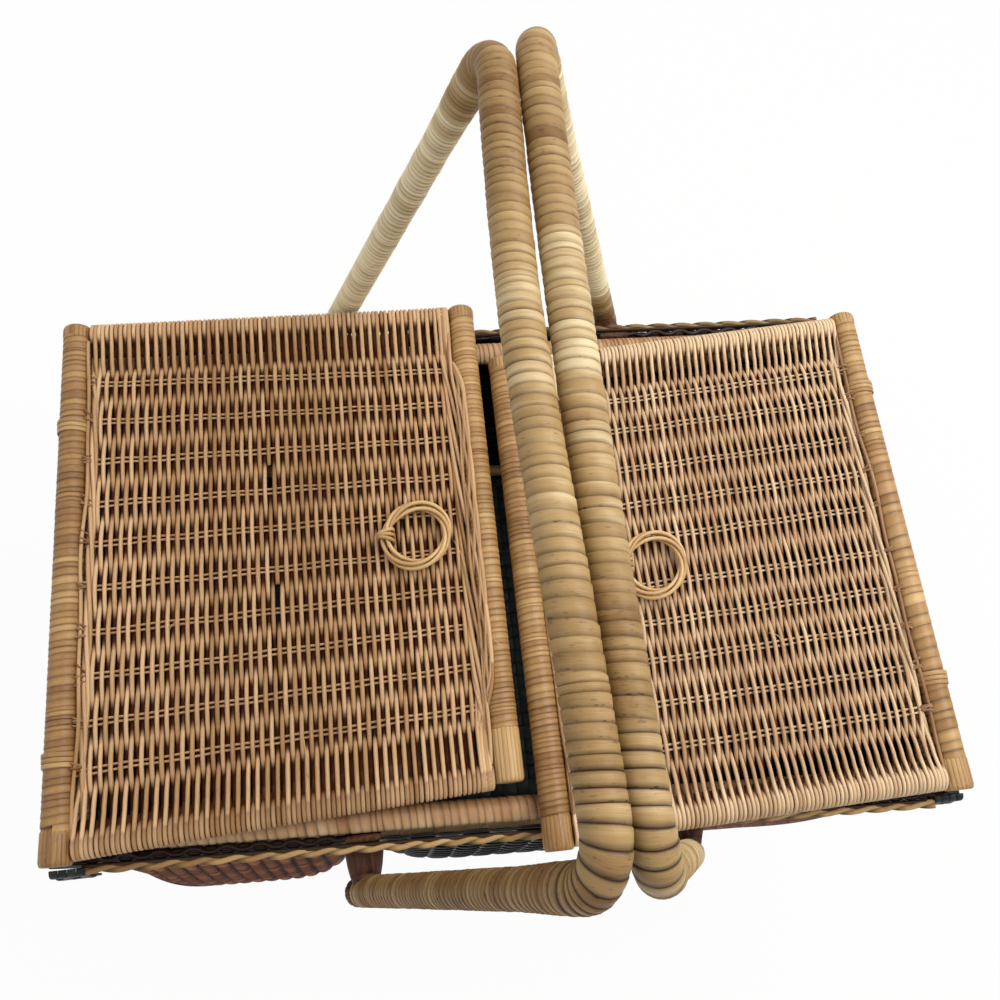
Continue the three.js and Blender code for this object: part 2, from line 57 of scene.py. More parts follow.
def stained_wood(name, pale, deep, along, roughness):
    # Straight grain drawn out along one axis, with the pores as a fine bump
    finish = bpy.data.materials.new(name)
    finish.use_nodes = True
    nodes = finish.node_tree.nodes
    links = finish.node_tree.links
    shader = nodes["Principled BSDF"]
    shader.inputs["Specular IOR Level"].default_value = WOOD_SHINE
    place = nodes.new("ShaderNodeTexCoord")
    drawn = nodes.new("ShaderNodeMapping")
    drawn.inputs["Scale"].default_value = [GRAIN_ALONG if axis == along else GRAIN_ACROSS for axis in "XYZ"]
    links.new(place.outputs["Object"], drawn.inputs["Vector"])
    grain = nodes.new("ShaderNodeTexNoise")
    grain.inputs["Scale"].default_value = 1
    grain.inputs["Detail"].default_value = 5
    grain.inputs["Distortion"].default_value = 0.6
    links.new(drawn.outputs["Vector"], grain.inputs["Vector"])
    shades = nodes.new("ShaderNodeValToRGB")
    shades.color_ramp.elements[0].position = 0.34
    shades.color_ramp.elements[0].color = deep
    shades.color_ramp.elements[1].position = 0.68
    shades.color_ramp.elements[1].color = pale
    links.new(grain.outputs["Fac"], shades.inputs["Fac"])
    links.new(shades.outputs["Color"], shader.inputs["Base Color"])
    worn = nodes.new("ShaderNodeMapRange")
    worn.inputs["To Min"].default_value = roughness - 0.12
    worn.inputs["To Max"].default_value = roughness + 0.12
    links.new(grain.outputs["Fac"], worn.inputs["Value"])
    links.new(worn.outputs["Result"], shader.inputs["Roughness"])
    pores = nodes.new("ShaderNodeBump")
    pores.inputs["Strength"].default_value = 0.3
    pores.inputs["Distance"].default_value = 0.0004
    links.new(grain.outputs["Fac"], pores.inputs["Height"])
    links.new(pores.outputs["Normal"], shader.inputs["Normal"])
    return finish


def eased_block(name, blocks, ease, finish):
    # Square timbers with rounded edges, each given by its lowest and highest corner
    shape = bmesh.new()
    for low, high in blocks:
        timber = bmesh.ops.create_cube(shape, size=1)["verts"]
        for corner in timber:
            for axis in range(3):
                corner.co[axis] = low[axis] + (corner.co[axis] + 0.5) * (high[axis] - low[axis])
    bmesh.ops.bevel(shape, geom=shape.edges[:], offset=ease, segments=3, profile=0.5, affect="EDGES")
    mesh = bpy.data.meshes.new(name)
    shape.to_mesh(mesh)
    shape.free()
    mesh.materials.append(finish)
    piece = bpy.data.objects.new(name, mesh)
    bpy.context.scene.collection.objects.link(piece)
    return piece


sole_finish = stained_wood("sole_stain", SOLE_PALE, SOLE_DEEP, "X", 0.55)
sole_board = eased_block("sole_board", [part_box("sole")], SOLE_EASE, sole_finish)
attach(sole_board, "basket")
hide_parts("sole")


# The curved sheet is the bottom and both ends of the body in one: a plain weave of flat split cane.
# Strips that follow the half-round cross strips that run from front to back, dyed a green near black.
STRIP_PITCH = 0.0102
STRIP_WIDTH = 0.0106
STRIP_THICK = 0.0013
STRIP_WAVE = 0.0008
SHEET_MIDDLE = 0.0030      # middle of the weave inside the outside of the sheet
SWELL_HEIGHT = 0.8
SWELL_SPREAD = 5
CORNER_CLEAR = 0.006
STRIP_TONES = (0.2, 0.9)
CELL_STEPS = 4             # points of the half-round to each strip that crosses it
ARC_STEPS = 120
HEM_SHARE = 0.012          # middle of the strip that hides the ends of the others, from front to back
HEM_RISE = 0.0018
WELT_SHARE = 0.0091        # and of the rod behind them
WELT_DEPTH = 0.0028
WELT_WIDTH = 0.0052
WELT_THICK = 0.0030
GRAIN_SHIFT = 1.37         # along the grain from one cane to the next, so that no two streak alike
GREEN_PALE = (0.040, 0.049, 0.044, 1)
GREEN_DEEP = (0.006, 0.009, 0.009, 1)
# Dark colour of the painted shade on the flat strips of the walls; the sheet itself has no shade
GREEN_PAINTED_SHADE = (0.002, 0.002, 0.002, 1)


def unit(vectors):
    return vectors / np.linalg.norm(vectors, axis=1, keepdims=True)


def travelled(points):
    # How far along a line of points each one is
    return np.concatenate([[0], np.cumsum(np.linalg.norm(np.diff(points, axis=0), axis=1))])


def directions(points, side):
    # At each point of a line: along it, across it as near to side as can be, and square to both
    run = unit(np.gradient(points, axis=0))
    across = np.broadcast_to(np.asarray(side, float), points.shape)
    across = unit(across - np.sum(across * run, axis=1, keepdims=True) * run)
    return run, across, np.cross(run, across)


class Bundle:
    # Canes gathered into one mesh. Each point carries its tone, its shade, which is dirt in some places and
    # painted
    # shade in others, and its grain: where it lies across, through and along its own cane.
    def __init__(self):
        self.count = 0
        self.canes = 0
        self.points = []
        self.faces = []
        self.tone = []
        self.shade = []
        self.grain = []

    def add(self, grid, tone, shade, grain, closed=True, ends=True):
        rows, columns = grid.shape[:2]
        index = self.count + np.arange(rows * columns).reshape(rows, columns)
        beside = np.roll(index, -1, axis=1)
        here = index
        if not closed:
            beside = index[:, 1:]
            here = index[:, :-1]
        quads = np.stack([here[:-1], beside[:-1], beside[1:], here[1:]], axis=-1)
        self.faces.append(quads.reshape(-1, 4))
        if closed and ends:
            for ring in (index[0][::-1], index[-1]):
                inner = np.arange(columns // 2 - 1)
                lids = [ring[inner], ring[inner + 1], ring[columns - 2 - inner], ring[columns - 1 - inner]]
                self.faces.append(np.stack(lids, axis=-1))
        size = (rows, columns)
        self.points.append(grid.reshape(-1, 3))
        self.tone.append(np.broadcast_to(tone, size).ravel())
        self.shade.append(np.broadcast_to(shade, size).ravel())
        self.grain.append(np.broadcast_to(grain, size + (3,)).reshape(-1, 3))
        self.count += rows * columns
        self.canes += 1

    def lay(self, points, side, width, thick, tone, shade=0.0, corners=6, flat=1.0):
        # One cane along a line of points, side being the direction across it
        points = np.asarray(points, float)
        _, across, up = directions(points, side)
        first = 0.5 if flat < 1 else 0.0
        turn = (np.arange(corners) + first) * 2 * math.pi / corners
        wide = np.sign(np.cos(turn)) * np.abs(np.cos(turn)) ** flat
        high = np.sign(np.sin(turn)) * np.abs(np.sin(turn)) ** flat
        reach = np.broadcast_to(width, len(points))[:, None] * wide / 2
        rise = np.broadcast_to(thick, len(points))[:, None] * high / 2
        grid = points[:, None] + across[:, None] * reach[..., None] + up[:, None] * rise[..., None]
        along = travelled(points) + GRAIN_SHIFT * self.canes
        grain = np.stack([reach, rise, np.broadcast_to(along[:, None], reach.shape)], axis=-1)
        tone = np.asarray(tone, float)
        shade = np.asarray(shade, float)
        self.add(grid, tone[:, None] if tone.ndim else tone, shade[:, None] if shade.ndim else shade, grain)

    def lay_strip(self, points, side, width, thick, tone, shade=0.0, flat=0.4):
        # One flat strip: a cane of eight corners, the squarer the smaller flat is
        self.lay(points, side, width, thick, tone, shade, 8, flat)

    def build(self, name, finish):
        points = np.concatenate(self.points).astype(np.float32)
        faces = np.concatenate(self.faces).astype(np.int32)
        mesh = bpy.data.meshes.new(name)
        mesh.vertices.add(len(points))
        mesh.vertices.foreach_set("co", points.ravel())
        mesh.loops.add(faces.size)
        mesh.loops.foreach_set("vertex_index", faces.ravel())
        mesh.polygons.add(len(faces))
        mesh.polygons.foreach_set("loop_start", np.arange(0, faces.size, 4, dtype=np.int32))
        mesh.update(calc_edges=True)
        mesh.shade_smooth()
        for word, values in (("tone", self.tone), ("shade", self.shade)):
            carried = mesh.attributes.new(word, "FLOAT", "POINT")
            carried.data.foreach_set("value", np.concatenate(values).astype(np.float32))
        grain = mesh.attributes.new("grain", "FLOAT_VECTOR", "POINT")
        grain.data.foreach_set("vector", np.concatenate(self.grain).astype(np.float32).ravel())
        mesh.materials.append(finish)
        piece = bpy.data.objects.new(name, mesh)
        bpy.context.scene.collection.objects.link(piece)
        return piece


def cane_finish(name, pale, deep, stain_and_shade, roughness, gloss=0.0, streaks=0.5, shine=0.32, specks=0.0):
    # Cane or reed: the tone runs from pale to deep, fibres streak it lengthwise, and one dark colour fills
    # its joints as stain and its gaps and shadowed parts as painted shade.
    # specks is how dark the small flecks are that come out where the tone is deep.
    finish = bpy.data.materials.new(name)
    finish.use_nodes = True
    nodes = finish.node_tree.nodes
    links = finish.node_tree.links
    shader = nodes["Principled BSDF"]
    shader.inputs["Coat Weight"].default_value = gloss
    shader.inputs["Coat Roughness"].default_value = 0.3
    shader.inputs["Specular IOR Level"].default_value = shine

    def carried(word, output):
        node = nodes.new("ShaderNodeAttribute")
        node.attribute_name = word
        return node.outputs[output]

    def noise(stretch, detail):
        scaled = nodes.new("ShaderNodeVectorMath")
        scaled.operation = "MULTIPLY"
        scaled.inputs[1].default_value = stretch
        links.new(carried("grain", "Vector"), scaled.inputs[0])
        texture = nodes.new("ShaderNodeTexNoise")
        texture.inputs["Scale"].default_value = 1
        texture.inputs["Detail"].default_value = detail
        links.new(scaled.outputs[0], texture.inputs["Vector"])
        return texture.outputs["Fac"]

    def weigh(value, factor, base, clamp=False):
        node = nodes.new("ShaderNodeMath")
        node.operation = "MULTIPLY_ADD"
        node.use_clamp = clamp
        links.new(value, node.inputs[0])
        node.inputs[1].default_value = factor
        if isinstance(base, float):
            node.inputs[2].default_value = base
        else:
            links.new(base, node.inputs[2])
        return node.outputs[0]

    fibres = noise((2600, 2600, 60), 3)
    patches = noise((160, 160, 26), 3)
    mixed = weigh(fibres, streaks, carried("tone", "Fac"))
    mixed = weigh(patches, 0.7, mixed)
    mixed = weigh(mixed, 1.0, -(0.35 + streaks / 2))
    shades = nodes.new("ShaderNodeValToRGB")
    middle = [math.sqrt(a * b) for a, b in zip(pale, deep)]
    shades.color_ramp.elements[0].color = pale
    shades.color_ramp.elements[1].color = deep
    shades.color_ramp.elements.new(0.55).color = middle
    links.new(mixed, shades.inputs["Fac"])
    # Patchy strength of the darkening: dirt in joints, painted shade elsewhere
    dirt_and_shade = weigh(patches, 0.9, 0.5)
    darkening = nodes.new("ShaderNodeMath")
    darkening.operation = "MULTIPLY"
    darkening.use_clamp = True
    links.new(carried("shade", "Fac"), darkening.inputs[0])
    links.new(dirt_and_shade, darkening.inputs[1])
    stain_and_shade_share = darkening.outputs[0]
    if specks:
        deep_enough = weigh(carried("tone", "Fac"), 1.6, -6.6)
        flecks = weigh(noise((900, 900, 210), 2), 9.0, deep_enough, clamp=True)
        stain_and_shade_share = weigh(flecks, specks, stain_and_shade_share, clamp=True)
    stain_and_shade_mix = nodes.new("ShaderNodeMix")
    stain_and_shade_mix.data_type = "RGBA"
    links.new(stain_and_shade_share, stain_and_shade_mix.inputs["Factor"])
    links.new(shades.outputs["Color"], stain_and_shade_mix.inputs["A"])
    stain_and_shade_mix.inputs["B"].default_value = stain_and_shade
    links.new(stain_and_shade_mix.outputs["Result"], shader.inputs["Base Color"])
    links.new(weigh(fibres, 0.3, roughness - 0.15), shader.inputs["Roughness"])
    ribs = nodes.new("ShaderNodeBump")
    ribs.inputs["Strength"].default_value = 0.35
    ribs.inputs["Distance"].default_value = 0.0003
    links.new(fibres, ribs.inputs["Height"])
    links.new(ribs.outputs["Normal"], shader.inputs["Normal"])
    return finish


sheet_low, sheet_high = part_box("curved_sheet")
body_radius = sheet_high.x
sheet_foot = sheet_low.z
rim_low, rim_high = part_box("left_rim")
rim_height = (rim_low.z + rim_high.z) / 2
sheet_top = sheet_high.z - rim_height
braid_low, braid_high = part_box("front_braid")
front_rack = ((braid_high.y - braid_low.y) - (braid_high.z - braid_low.z)) / (braid_high.x - braid_low.x)
wall_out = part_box("back_left_post")[1].y


def out_of_square(side, x):
    # How far the front wall has gone forward at x; the back wall is still square
    return front_rack * x if side == "front" else 0.0 * x


wall_low, wall_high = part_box("back_right_panel")
wall_radius = wall_high.x
wall_foot = wall_low.z
wall_top = wall_high.z
wall_last = math.asin((rim_height - wall_foot) / wall_radius)
face_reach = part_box("back_centre_panel")[1].y
corner_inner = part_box("back_right_corner")[0].x - CORNER_CLEAR


def wall_swell(side, left, right, x, z):
    # How far a wall panel between two edges swells outwards: nothing at its edges, most in its middle
    start = max(left, -corner_inner)
    end = min(right, corner_inner)
    bulge = face_reach - wall_out - out_of_square(side, (start + end) / 2)
    across = np.clip((x - start) / (end - start), 0, 1)
    drop = np.clip((rim_height - z) / wall_radius, 0, 1)
    rise = np.clip(1 - np.arcsin(drop) / wall_last, 0, 1)
    return bulge * (1 - np.abs(2 * across - 1) ** SWELL_SPREAD) * np.sin(math.pi * rise ** SWELL_HEIGHT)


def half_round(inset, top, step):
    # Even points (x, z) down the right end, along the flat bottom and up the left end
    radius = body_radius - inset
    flat = sheet_foot + inset
    last = math.asin((rim_height - flat) / radius)
    turn = np.linspace(0 if top > 0 else math.asin(-top / radius), last, ARC_STEPS)
    right = np.column_stack([radius * np.cos(turn), rim_height - radius * np.sin(turn)])
    if top > 0:
        right = np.concatenate([[[radius, rim_height + top]], right])
    line = np.concatenate([right, right[::-1] * (-1, 1)])
    run = travelled(line)
    places = np.linspace(0, run[-1], int(run[-1] / step) + 1)
    return np.column_stack([np.interp(places, run, line[:, 0]), np.interp(places, run, line[:, 1])])


def soften(line, reach):
    # Rounds off corners by averaging each point with its neighbours
    weights = np.ones(2 * reach + 1) / (2 * reach + 1)
    padded = np.pad(line, ((reach, reach), (0, 0)), mode="reflect", reflect_type="odd")
    return np.column_stack([np.convolve(padded[:, i], weights, "valid") for i in range(line.shape[1])])


dice = np.random.default_rng(11)
sheet_step = STRIP_PITCH / CELL_STEPS
sheet_line = soften(half_round(SHEET_MIDDLE, sheet_top, sheet_step), 6)
sheet_run = unit(np.gradient(sheet_line, axis=0))
sheet_out = np.column_stack([-sheet_run[:, 1], sheet_run[:, 0]])
sheet_out = sheet_out * np.sign(np.sum(sheet_out * (sheet_line - (0, rim_height)), axis=1))[:, None]
lanes = int(2 * wall_out / STRIP_PITCH)
cells = (len(sheet_line) - 1) // CELL_STEPS
sheet_weave = Bundle()


def sheet_point(position, share, rise):
    # A point of the sheet: position along the half-round, share from front to back, rise off the weave
    count = np.arange(len(sheet_line))
    x, z, out_x, out_z = [np.interp(position, count, values) for values in (*sheet_line.T, *sheet_out.T)]
    post = wall_low.x
    side_x = np.abs(x)
    near = -(wall_out + out_of_square("front", x))
    near = near - np.where(x > 0, wall_swell("front", post, body_radius, x, z),
                           wall_swell("front", -body_radius, -post, x, z))
    far = wall_out + wall_swell("back", post, body_radius, side_x, z)
    y = near + (far - near) * share
    return np.stack(np.broadcast_arrays(x + out_x * rise, y, z + out_z * rise), axis=-1)


for lane in range(lanes):
    position = np.arange(len(sheet_line), dtype=float)
    wave = STRIP_WAVE * np.cos(math.pi * (position / CELL_STEPS - 0.5) + math.pi * lane)
    points = sheet_point(position, (lane + 0.5) / lanes, wave)
    sheet_weave.lay_strip(points, (0, 1, 0), STRIP_WIDTH, STRIP_THICK, dice.uniform(*STRIP_TONES))
for cell in range(cells):
    share = np.linspace(0.004, 0.996, lanes * CELL_STEPS + 1)
    wave = -STRIP_WAVE * np.cos(math.pi * (share * lanes - 0.5) + math.pi * cell)
    centre = CELL_STEPS * (cell + 0.5)
    points = sheet_point(centre, share, wave)
    side = np.gradient(sheet_point(centre + np.array([-1.0, 0.0, 1.0]), 0.5, 0.0), axis=0)[1]
    sheet_weave.lay_strip(points, side, STRIP_WIDTH, STRIP_THICK, dice.uniform(*STRIP_TONES))
position = np.arange(0, len(sheet_line), 2, dtype=float)
for share, rise, width, thick in (
    (HEM_SHARE, HEM_RISE, STRIP_WIDTH, STRIP_THICK), (WELT_SHARE, -WELT_DEPTH, WELT_WIDTH, WELT_THICK),
):
    for place in (share, 1 - share):
        sheet_weave.lay_strip(sheet_point(position, place, rise), (0, 1, 0), width, thick, 0.5)
green_finish = cane_finish("green_split_cane", GREEN_PALE, GREEN_DEEP, GREEN_PAINTED_SHADE, 0.42, shine=0.2)
curved_sheet = sheet_weave.build("curved_sheet_weave", green_finish)
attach(curved_sheet, "basket")
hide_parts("curved_sheet")


# Two hoops of bent cane stiffen the half-round edges from inside, one behind each wall.
# Each is one peeled rod, lashed to the weave with thin cane every few centimetres.
HOOP_LASH_EVERY = 0.034
HOOP_LASH_TURNS = 4
HOOP_LASH_CANE = 0.0022
HOOP_LASH_THICK = 0.0009
HOOP_STEP = 0.004
HOOP_BARE = 0.9            # share of the bound hoop that its bare rod takes up
HOOP_BOUND = 0.92          # where the middle of the lashing is
HONEY_PALE = (0.66, 0.47, 0.25, 1)
HONEY_DEEP = (0.33, 0.175, 0.062, 1)
HONEY_STAIN = (0.085, 0.036, 0.010, 1)

honey_finish = cane_finish("honey_cane", HONEY_PALE, HONEY_DEEP, HONEY_STAIN, 0.42, gloss=0.12)
OUTWARD = {"front": -1, "back": 1}     # which way along y each wall faces


def middle_of(node):
    low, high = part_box(node)
    return [(a + b) / 2 for a, b in zip(low, high)]


for side, way in OUTWARD.items():
    low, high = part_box(f"{side}_hoop")
    square_low, square_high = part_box("back_hoop")
    hoop_radius = (square_high.y - square_low.y) / 2
    hoop_inset = body_radius - high.x
    line = soften(half_round(hoop_inset + hoop_radius, -(rim_height - high.z), HOOP_STEP), 3)
    depth = middle_of("back_hoop")[1] + out_of_square(side, line[:, 0])
    points = np.column_stack([line[:, 0], way * depth, line[:, 1]])
    hoop = Bundle()
    hoop.lay(points, (0, 1, 0), 2 * HOOP_BARE * hoop_radius, 2 * HOOP_BARE * hoop_radius, 0.35, corners=14)
    run = unit(np.gradient(points, axis=0))
    for spot in np.arange(6, len(points) - 6, int(HOOP_LASH_EVERY / HOOP_STEP)):
        turn = np.linspace(0, 2 * math.pi * HOOP_LASH_TURNS, 14 * HOOP_LASH_TURNS)
        across = np.array([0, 1.0, 0])
        up = np.cross(run[spot], across)
        advance = (turn / (2 * math.pi) - HOOP_LASH_TURNS / 2) * HOOP_LASH_CANE
        swing = across * np.cos(turn)[:, None] + up * np.sin(turn)[:, None]
        coil = points[spot] + swing * (HOOP_BOUND * hoop_radius) + run[spot] * advance[:, None]
        tone = dice.uniform(0.1, 0.8)
        hoop.lay_strip(coil, run[spot], HOOP_LASH_CANE, HOOP_LASH_THICK, tone, flat=0.5)
    hoop = hoop.build(f"{side}_hoop_lashed", honey_finish)
    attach(hoop, "basket")
    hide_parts(f"{side}_hoop")


# The front and back walls are woven in place and bulge outwards. Beside the corners reddish reed goes
# in and out of close stakes; between the pegs flat strips dyed near black go round wider ones.
REED_THICK = 0.0031
REED_PITCH = 0.0030
REED_STAKES = 0.0086
REED_STAKE_THICK = 0.0009
REED_WAVE = 0.0022
BAND_HEIGHT = 0.0067
BAND_PITCH = 0.0068
BAND_STAKES = 0.0150
BAND_THICK = 0.0012
BAND_WAVE = 0.0012
BAND_LIFT = 0.0016         # how far the flat strips stand out past the reed
WALL_MIDDLE = 0.0028       # middle of the weave inside the outside of the wall
ROW_TUCK = 0.0020          # ends of the rows inside the curved sheet
POST_TUCK = 0.0040         # and inside the posts
STAKE_SHARE = 1.05         # width of a flat stake, which laps the next, out of their spacing
STAKE_STAGGER = 0.0002     # every other stake stands out, and the rest stand back
STAKE_STEPS = 40
# Stakes, the stake beside each post and the foot rod are darkened by this much as painted shade, so they
# show as dark gaps between the rows
STAKE_SHADE = 0.8
EDGE_STAKE_BACK = 0.0006   # how far the stake beside a post stands back
EDGE_STAKE_LAP = 0.006
PRESSED_FROM = 0.010       # from here below the middle of the rim the weave is pressed flatter
PRESSED_OVER = 0.006
PRESSED_MIDDLE = 0.0019
PRESSED_SHARE = 0.45
FOOT_ROD = (0.0060, 0.0030)    # width and thickness of the rod along the foot of the flat strips
FOOT_ROD_LIFT = 0.0005
FOOT_ROD_BACK = 0.0012
ROW_UNEVEN = 0.0002
ROW_SETTLE = 0.006         # how near the posts a row goes straight
BORDER_SHADOW = 0.007      # below the border the rows carry painted shadow
RED_PALE = (0.40, 0.158, 0.085, 1)
RED_DEEP = (0.080, 0.024, 0.011, 1)
# Dark colour of the painted shade on the reed walls
RED_PAINTED_SHADE = (0.006, 0.0014, 0.0005, 1)
BLACK_PALE = (0.020, 0.026, 0.024, 1)
BLACK_DEEP = (0.004, 0.006, 0.006, 1)

red_finish = cane_finish("red_reed", RED_PALE, RED_DEEP, RED_PAINTED_SHADE, 0.42, shine=0.2)
black_green_finish = cane_finish("green_flat_strip", BLACK_PALE, BLACK_DEEP, GREEN_PAINTED_SHADE, 0.46, shine=0.2)


def smooth(share):
    share = np.clip(share, 0, 1)
    return share * share * (3 - 2 * share)


def wall_edge(z):
    # How far the half-round reaches from the middle at a height
    return math.sqrt(wall_radius ** 2 - max(0.0, rim_height - z) ** 2)


def wall_point(side, left, right, x, z, out):
    # A point on a panel between two edges; out is measured outwards from the middle of the weave
    swell = wall_swell(side, left, right, x, z)
    near_rim = np.clip((z - (rim_height - PRESSED_FROM)) / PRESSED_OVER, 0, 1)
    inset = WALL_MIDDLE * (1 - near_rim) + PRESSED_MIDDLE * near_rim
    depth = wall_out - inset + swell + out * (1 - PRESSED_SHARE * near_rim)
    depth = depth + out_of_square(side, x)
    return np.stack(np.broadcast_arrays(x, OUTWARD[side] * depth, z), axis=-1)


def weave_panel(side, left, right, spacing, stake, pitch, thick, height, wave, flat):
    # Upright stakes, and rows that pass in front of one and behind the next
    panel = Bundle()
    lift = BAND_LIFT if flat else 0.0

    def between(start, end, z):
        # The direction along the wall from one place to another, at each height
        return wall_point(side, left, right, end, z, 0.0) - wall_point(side, left, right, start, z, 0.0)

    first = math.ceil(left / spacing + 0.5)
    last = math.floor(right / spacing - 0.5)
    stakes = np.arange(first, last + 1) * spacing
    for x in stakes:
        drop = math.sqrt(max(0.0, wall_radius ** 2 - x ** 2))
        z = np.linspace(max(wall_foot, rim_height - drop) - ROW_TUCK, wall_top - 0.001, STAKE_STEPS)
        stagger = STAKE_STAGGER if round(x / spacing) % 2 else -STAKE_STAGGER
        points = wall_point(side, left, right, x, z, lift + stagger)
        across = between(x - spacing / 2, x + spacing / 2, z)
        panel.lay_strip(points, across, spacing * STAKE_SHARE, stake, dice.uniform(0.3, 0.9), STAKE_SHADE)
    for edge, nearest in ((left, stakes[0]), (right, stakes[-1])):
        if abs(edge) < corner_inner:
            z = np.linspace(wall_foot - ROW_TUCK, wall_top - 0.001, STAKE_STEPS)
            points = wall_point(side, left, right, (edge + nearest) / 2, z, lift - EDGE_STAKE_BACK)
            across = between(min(edge, nearest), max(edge, nearest), z)
            panel.lay_strip(points, across, abs(nearest - edge) + EDGE_STAKE_LAP, stake, 0.8, STAKE_SHADE)
    if flat:
        x = np.linspace(left - 0.002, right + 0.002, 40)
        z = np.full_like(x, wall_foot + FOOT_ROD_LIFT)
        points = wall_point(side, left, right, x, z, -FOOT_ROD_BACK)
        panel.lay_strip(points, (0, 0, 1), *FOOT_ROD, 0.8, STAKE_SHADE)
    rows = int((wall_top - wall_foot) / pitch)
    for row in range(rows):
        z = wall_foot + (row + 0.5) * (wall_top - wall_foot) / rows
        start = max(left - POST_TUCK, -wall_edge(z) - ROW_TUCK)
        end = min(right + POST_TUCK, wall_edge(z) + ROW_TUCK)
        x = np.linspace(start, end, max(8, int((end - start) / spacing * 6)))
        swing = np.cos(math.pi * x / spacing + math.pi * row)
        sway = wave * (np.tanh(2 * swing) if flat else np.tanh(1.2 * swing) / np.tanh(1.2))
        sway = sway * smooth(np.minimum(x - left, right - x) / ROW_SETTLE)
        level = z + ROW_UNEVEN * np.sin(x * 90 + row)
        points = wall_point(side, left, right, x, level, sway + lift)
        # Painted shade on the flanks of each row, where it turns in behind a stake
        out_share = abs(sway) / wave
        shade = 0.6 * smooth((0.80 - out_share) / 0.6) if flat else 1.2 * smooth((1.02 - out_share) / 0.6)
        # Painted shadow on the rows under the border, and on those hidden behind it
        shade = shade + 1.2 * smooth((z - braid_low.z + BORDER_SHADOW) / 0.005)
        tone = np.clip(dice.normal(0.45, 0.22), 0, 1)
        if flat:
            panel.lay_strip(points, (0, 0, 1), height, thick, tone, shade, 0.45)
        else:
            panel.lay(points, (0, 0, 1), height, thick, tone, shade)
    return panel


for side in OUTWARD:
    for word in ("left", "centre", "right"):
        low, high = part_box(f"{side}_{word}_panel")
        if word == "centre":
            weave = weave_panel(side, low.x, high.x, BAND_STAKES, BAND_THICK * 0.7, BAND_PITCH,
                                BAND_THICK, BAND_HEIGHT, BAND_WAVE, True)
            panel = weave.build(f"{side}_{word}_strips", black_green_finish)
        else:
            weave = weave_panel(side, low.x, high.x, REED_STAKES, REED_STAKE_THICK, REED_PITCH,
                                REED_THICK, REED_THICK, REED_WAVE, False)
            panel = weave.build(f"{side}_{word}_reed", red_finish)
        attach(panel, "basket")
        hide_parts(f"{side}_{word}_panel")


# Four wooden posts stand in the walls, and a peg through the head of each carries a handle.
# A turned spacer on the peg holds the handle clear of the wall. All are dark stained hardwood.
POST_EASE = 0.0016
POST_WALL = 0.0040         # thickness of the part of a post that stands in the wall
POST_UNDER_RIM = 0.0006
BLOCK_LIFT = 0.0185        # a post's block starts this far above the foot of the hoop
SPACER_COLUMNS = 40
SPACER_BEAD = 0.0012
SPACER_TAPER = 0.0022
SPACER_BORE = 0.0052
PEG_SHANK = 0.0050
PEG_HEAD = 0.0040
WOOD_PALE = (0.090, 0.036, 0.018, 1)
WOOD_DEEP = (0.028, 0.010, 0.0045, 1)

post_finish = stained_wood("post_wood", WOOD_PALE, WOOD_DEEP, "Z", 0.5)
spacer_finish = stained_wood("spacer_wood", WOOD_PALE, WOOD_DEEP, "Y", 0.55)


class Line:
    # A line through close points, with two directions square to it at every point
    def __init__(self, points, side):
        self.points = np.asarray(points, float)
        _, self.across, self.up = directions(self.points, side)
        self.places = travelled(self.points)
        self.length = self.places[-1]

    def read(self, values, place):
        return np.stack([np.interp(place, self.places, values[:, i]) for i in range(3)], axis=-1)

    def ring(self, place, angle, radius):
        # Points round the line at a place along it
        place, angle, radius = np.broadcast_arrays(place, angle, radius)
        swing = self.read(self.across, place) * np.cos(angle)[..., None]
        swing = swing + self.read(self.up, place) * np.sin(angle)[..., None]
        return self.read(self.points, place) + swing * radius[..., None]


def straight(start, end, side, step=0.002):
    start = np.asarray(start, float)
    end = np.asarray(end, float)
    steps = max(2, int(np.linalg.norm(end - start) / step))
    return Line(start + (end - start) * np.linspace(0, 1, steps + 1)[:, None], side)


def turned(bundle, line, profile, columns, tone=0.4, strips=0, groove=0.0, shade=0.0):
    # A round form from a profile of places and radii, with grooves between lengthwise strips if any
    place = np.array([point[0] for point in profile])[:, None]
    radius = np.array([point[1] for point in profile])[:, None]
    angle = (np.arange(columns) * 2 * math.pi / columns)[None, :]
    hollow = np.zeros_like(angle)
    if strips:
        hollow = np.abs(np.cos(angle * strips / 2)) ** 14
    reach = radius - groove * hollow * np.clip(radius / radius.max(), 0, 1)
    grid = line.ring(place, angle, reach)
    grain = np.stack(np.broadcast_arrays(angle * radius, 0 * angle, place + 0 * angle), axis=-1)
    bundle.add(grid, tone, shade + hollow * 0.5, grain)


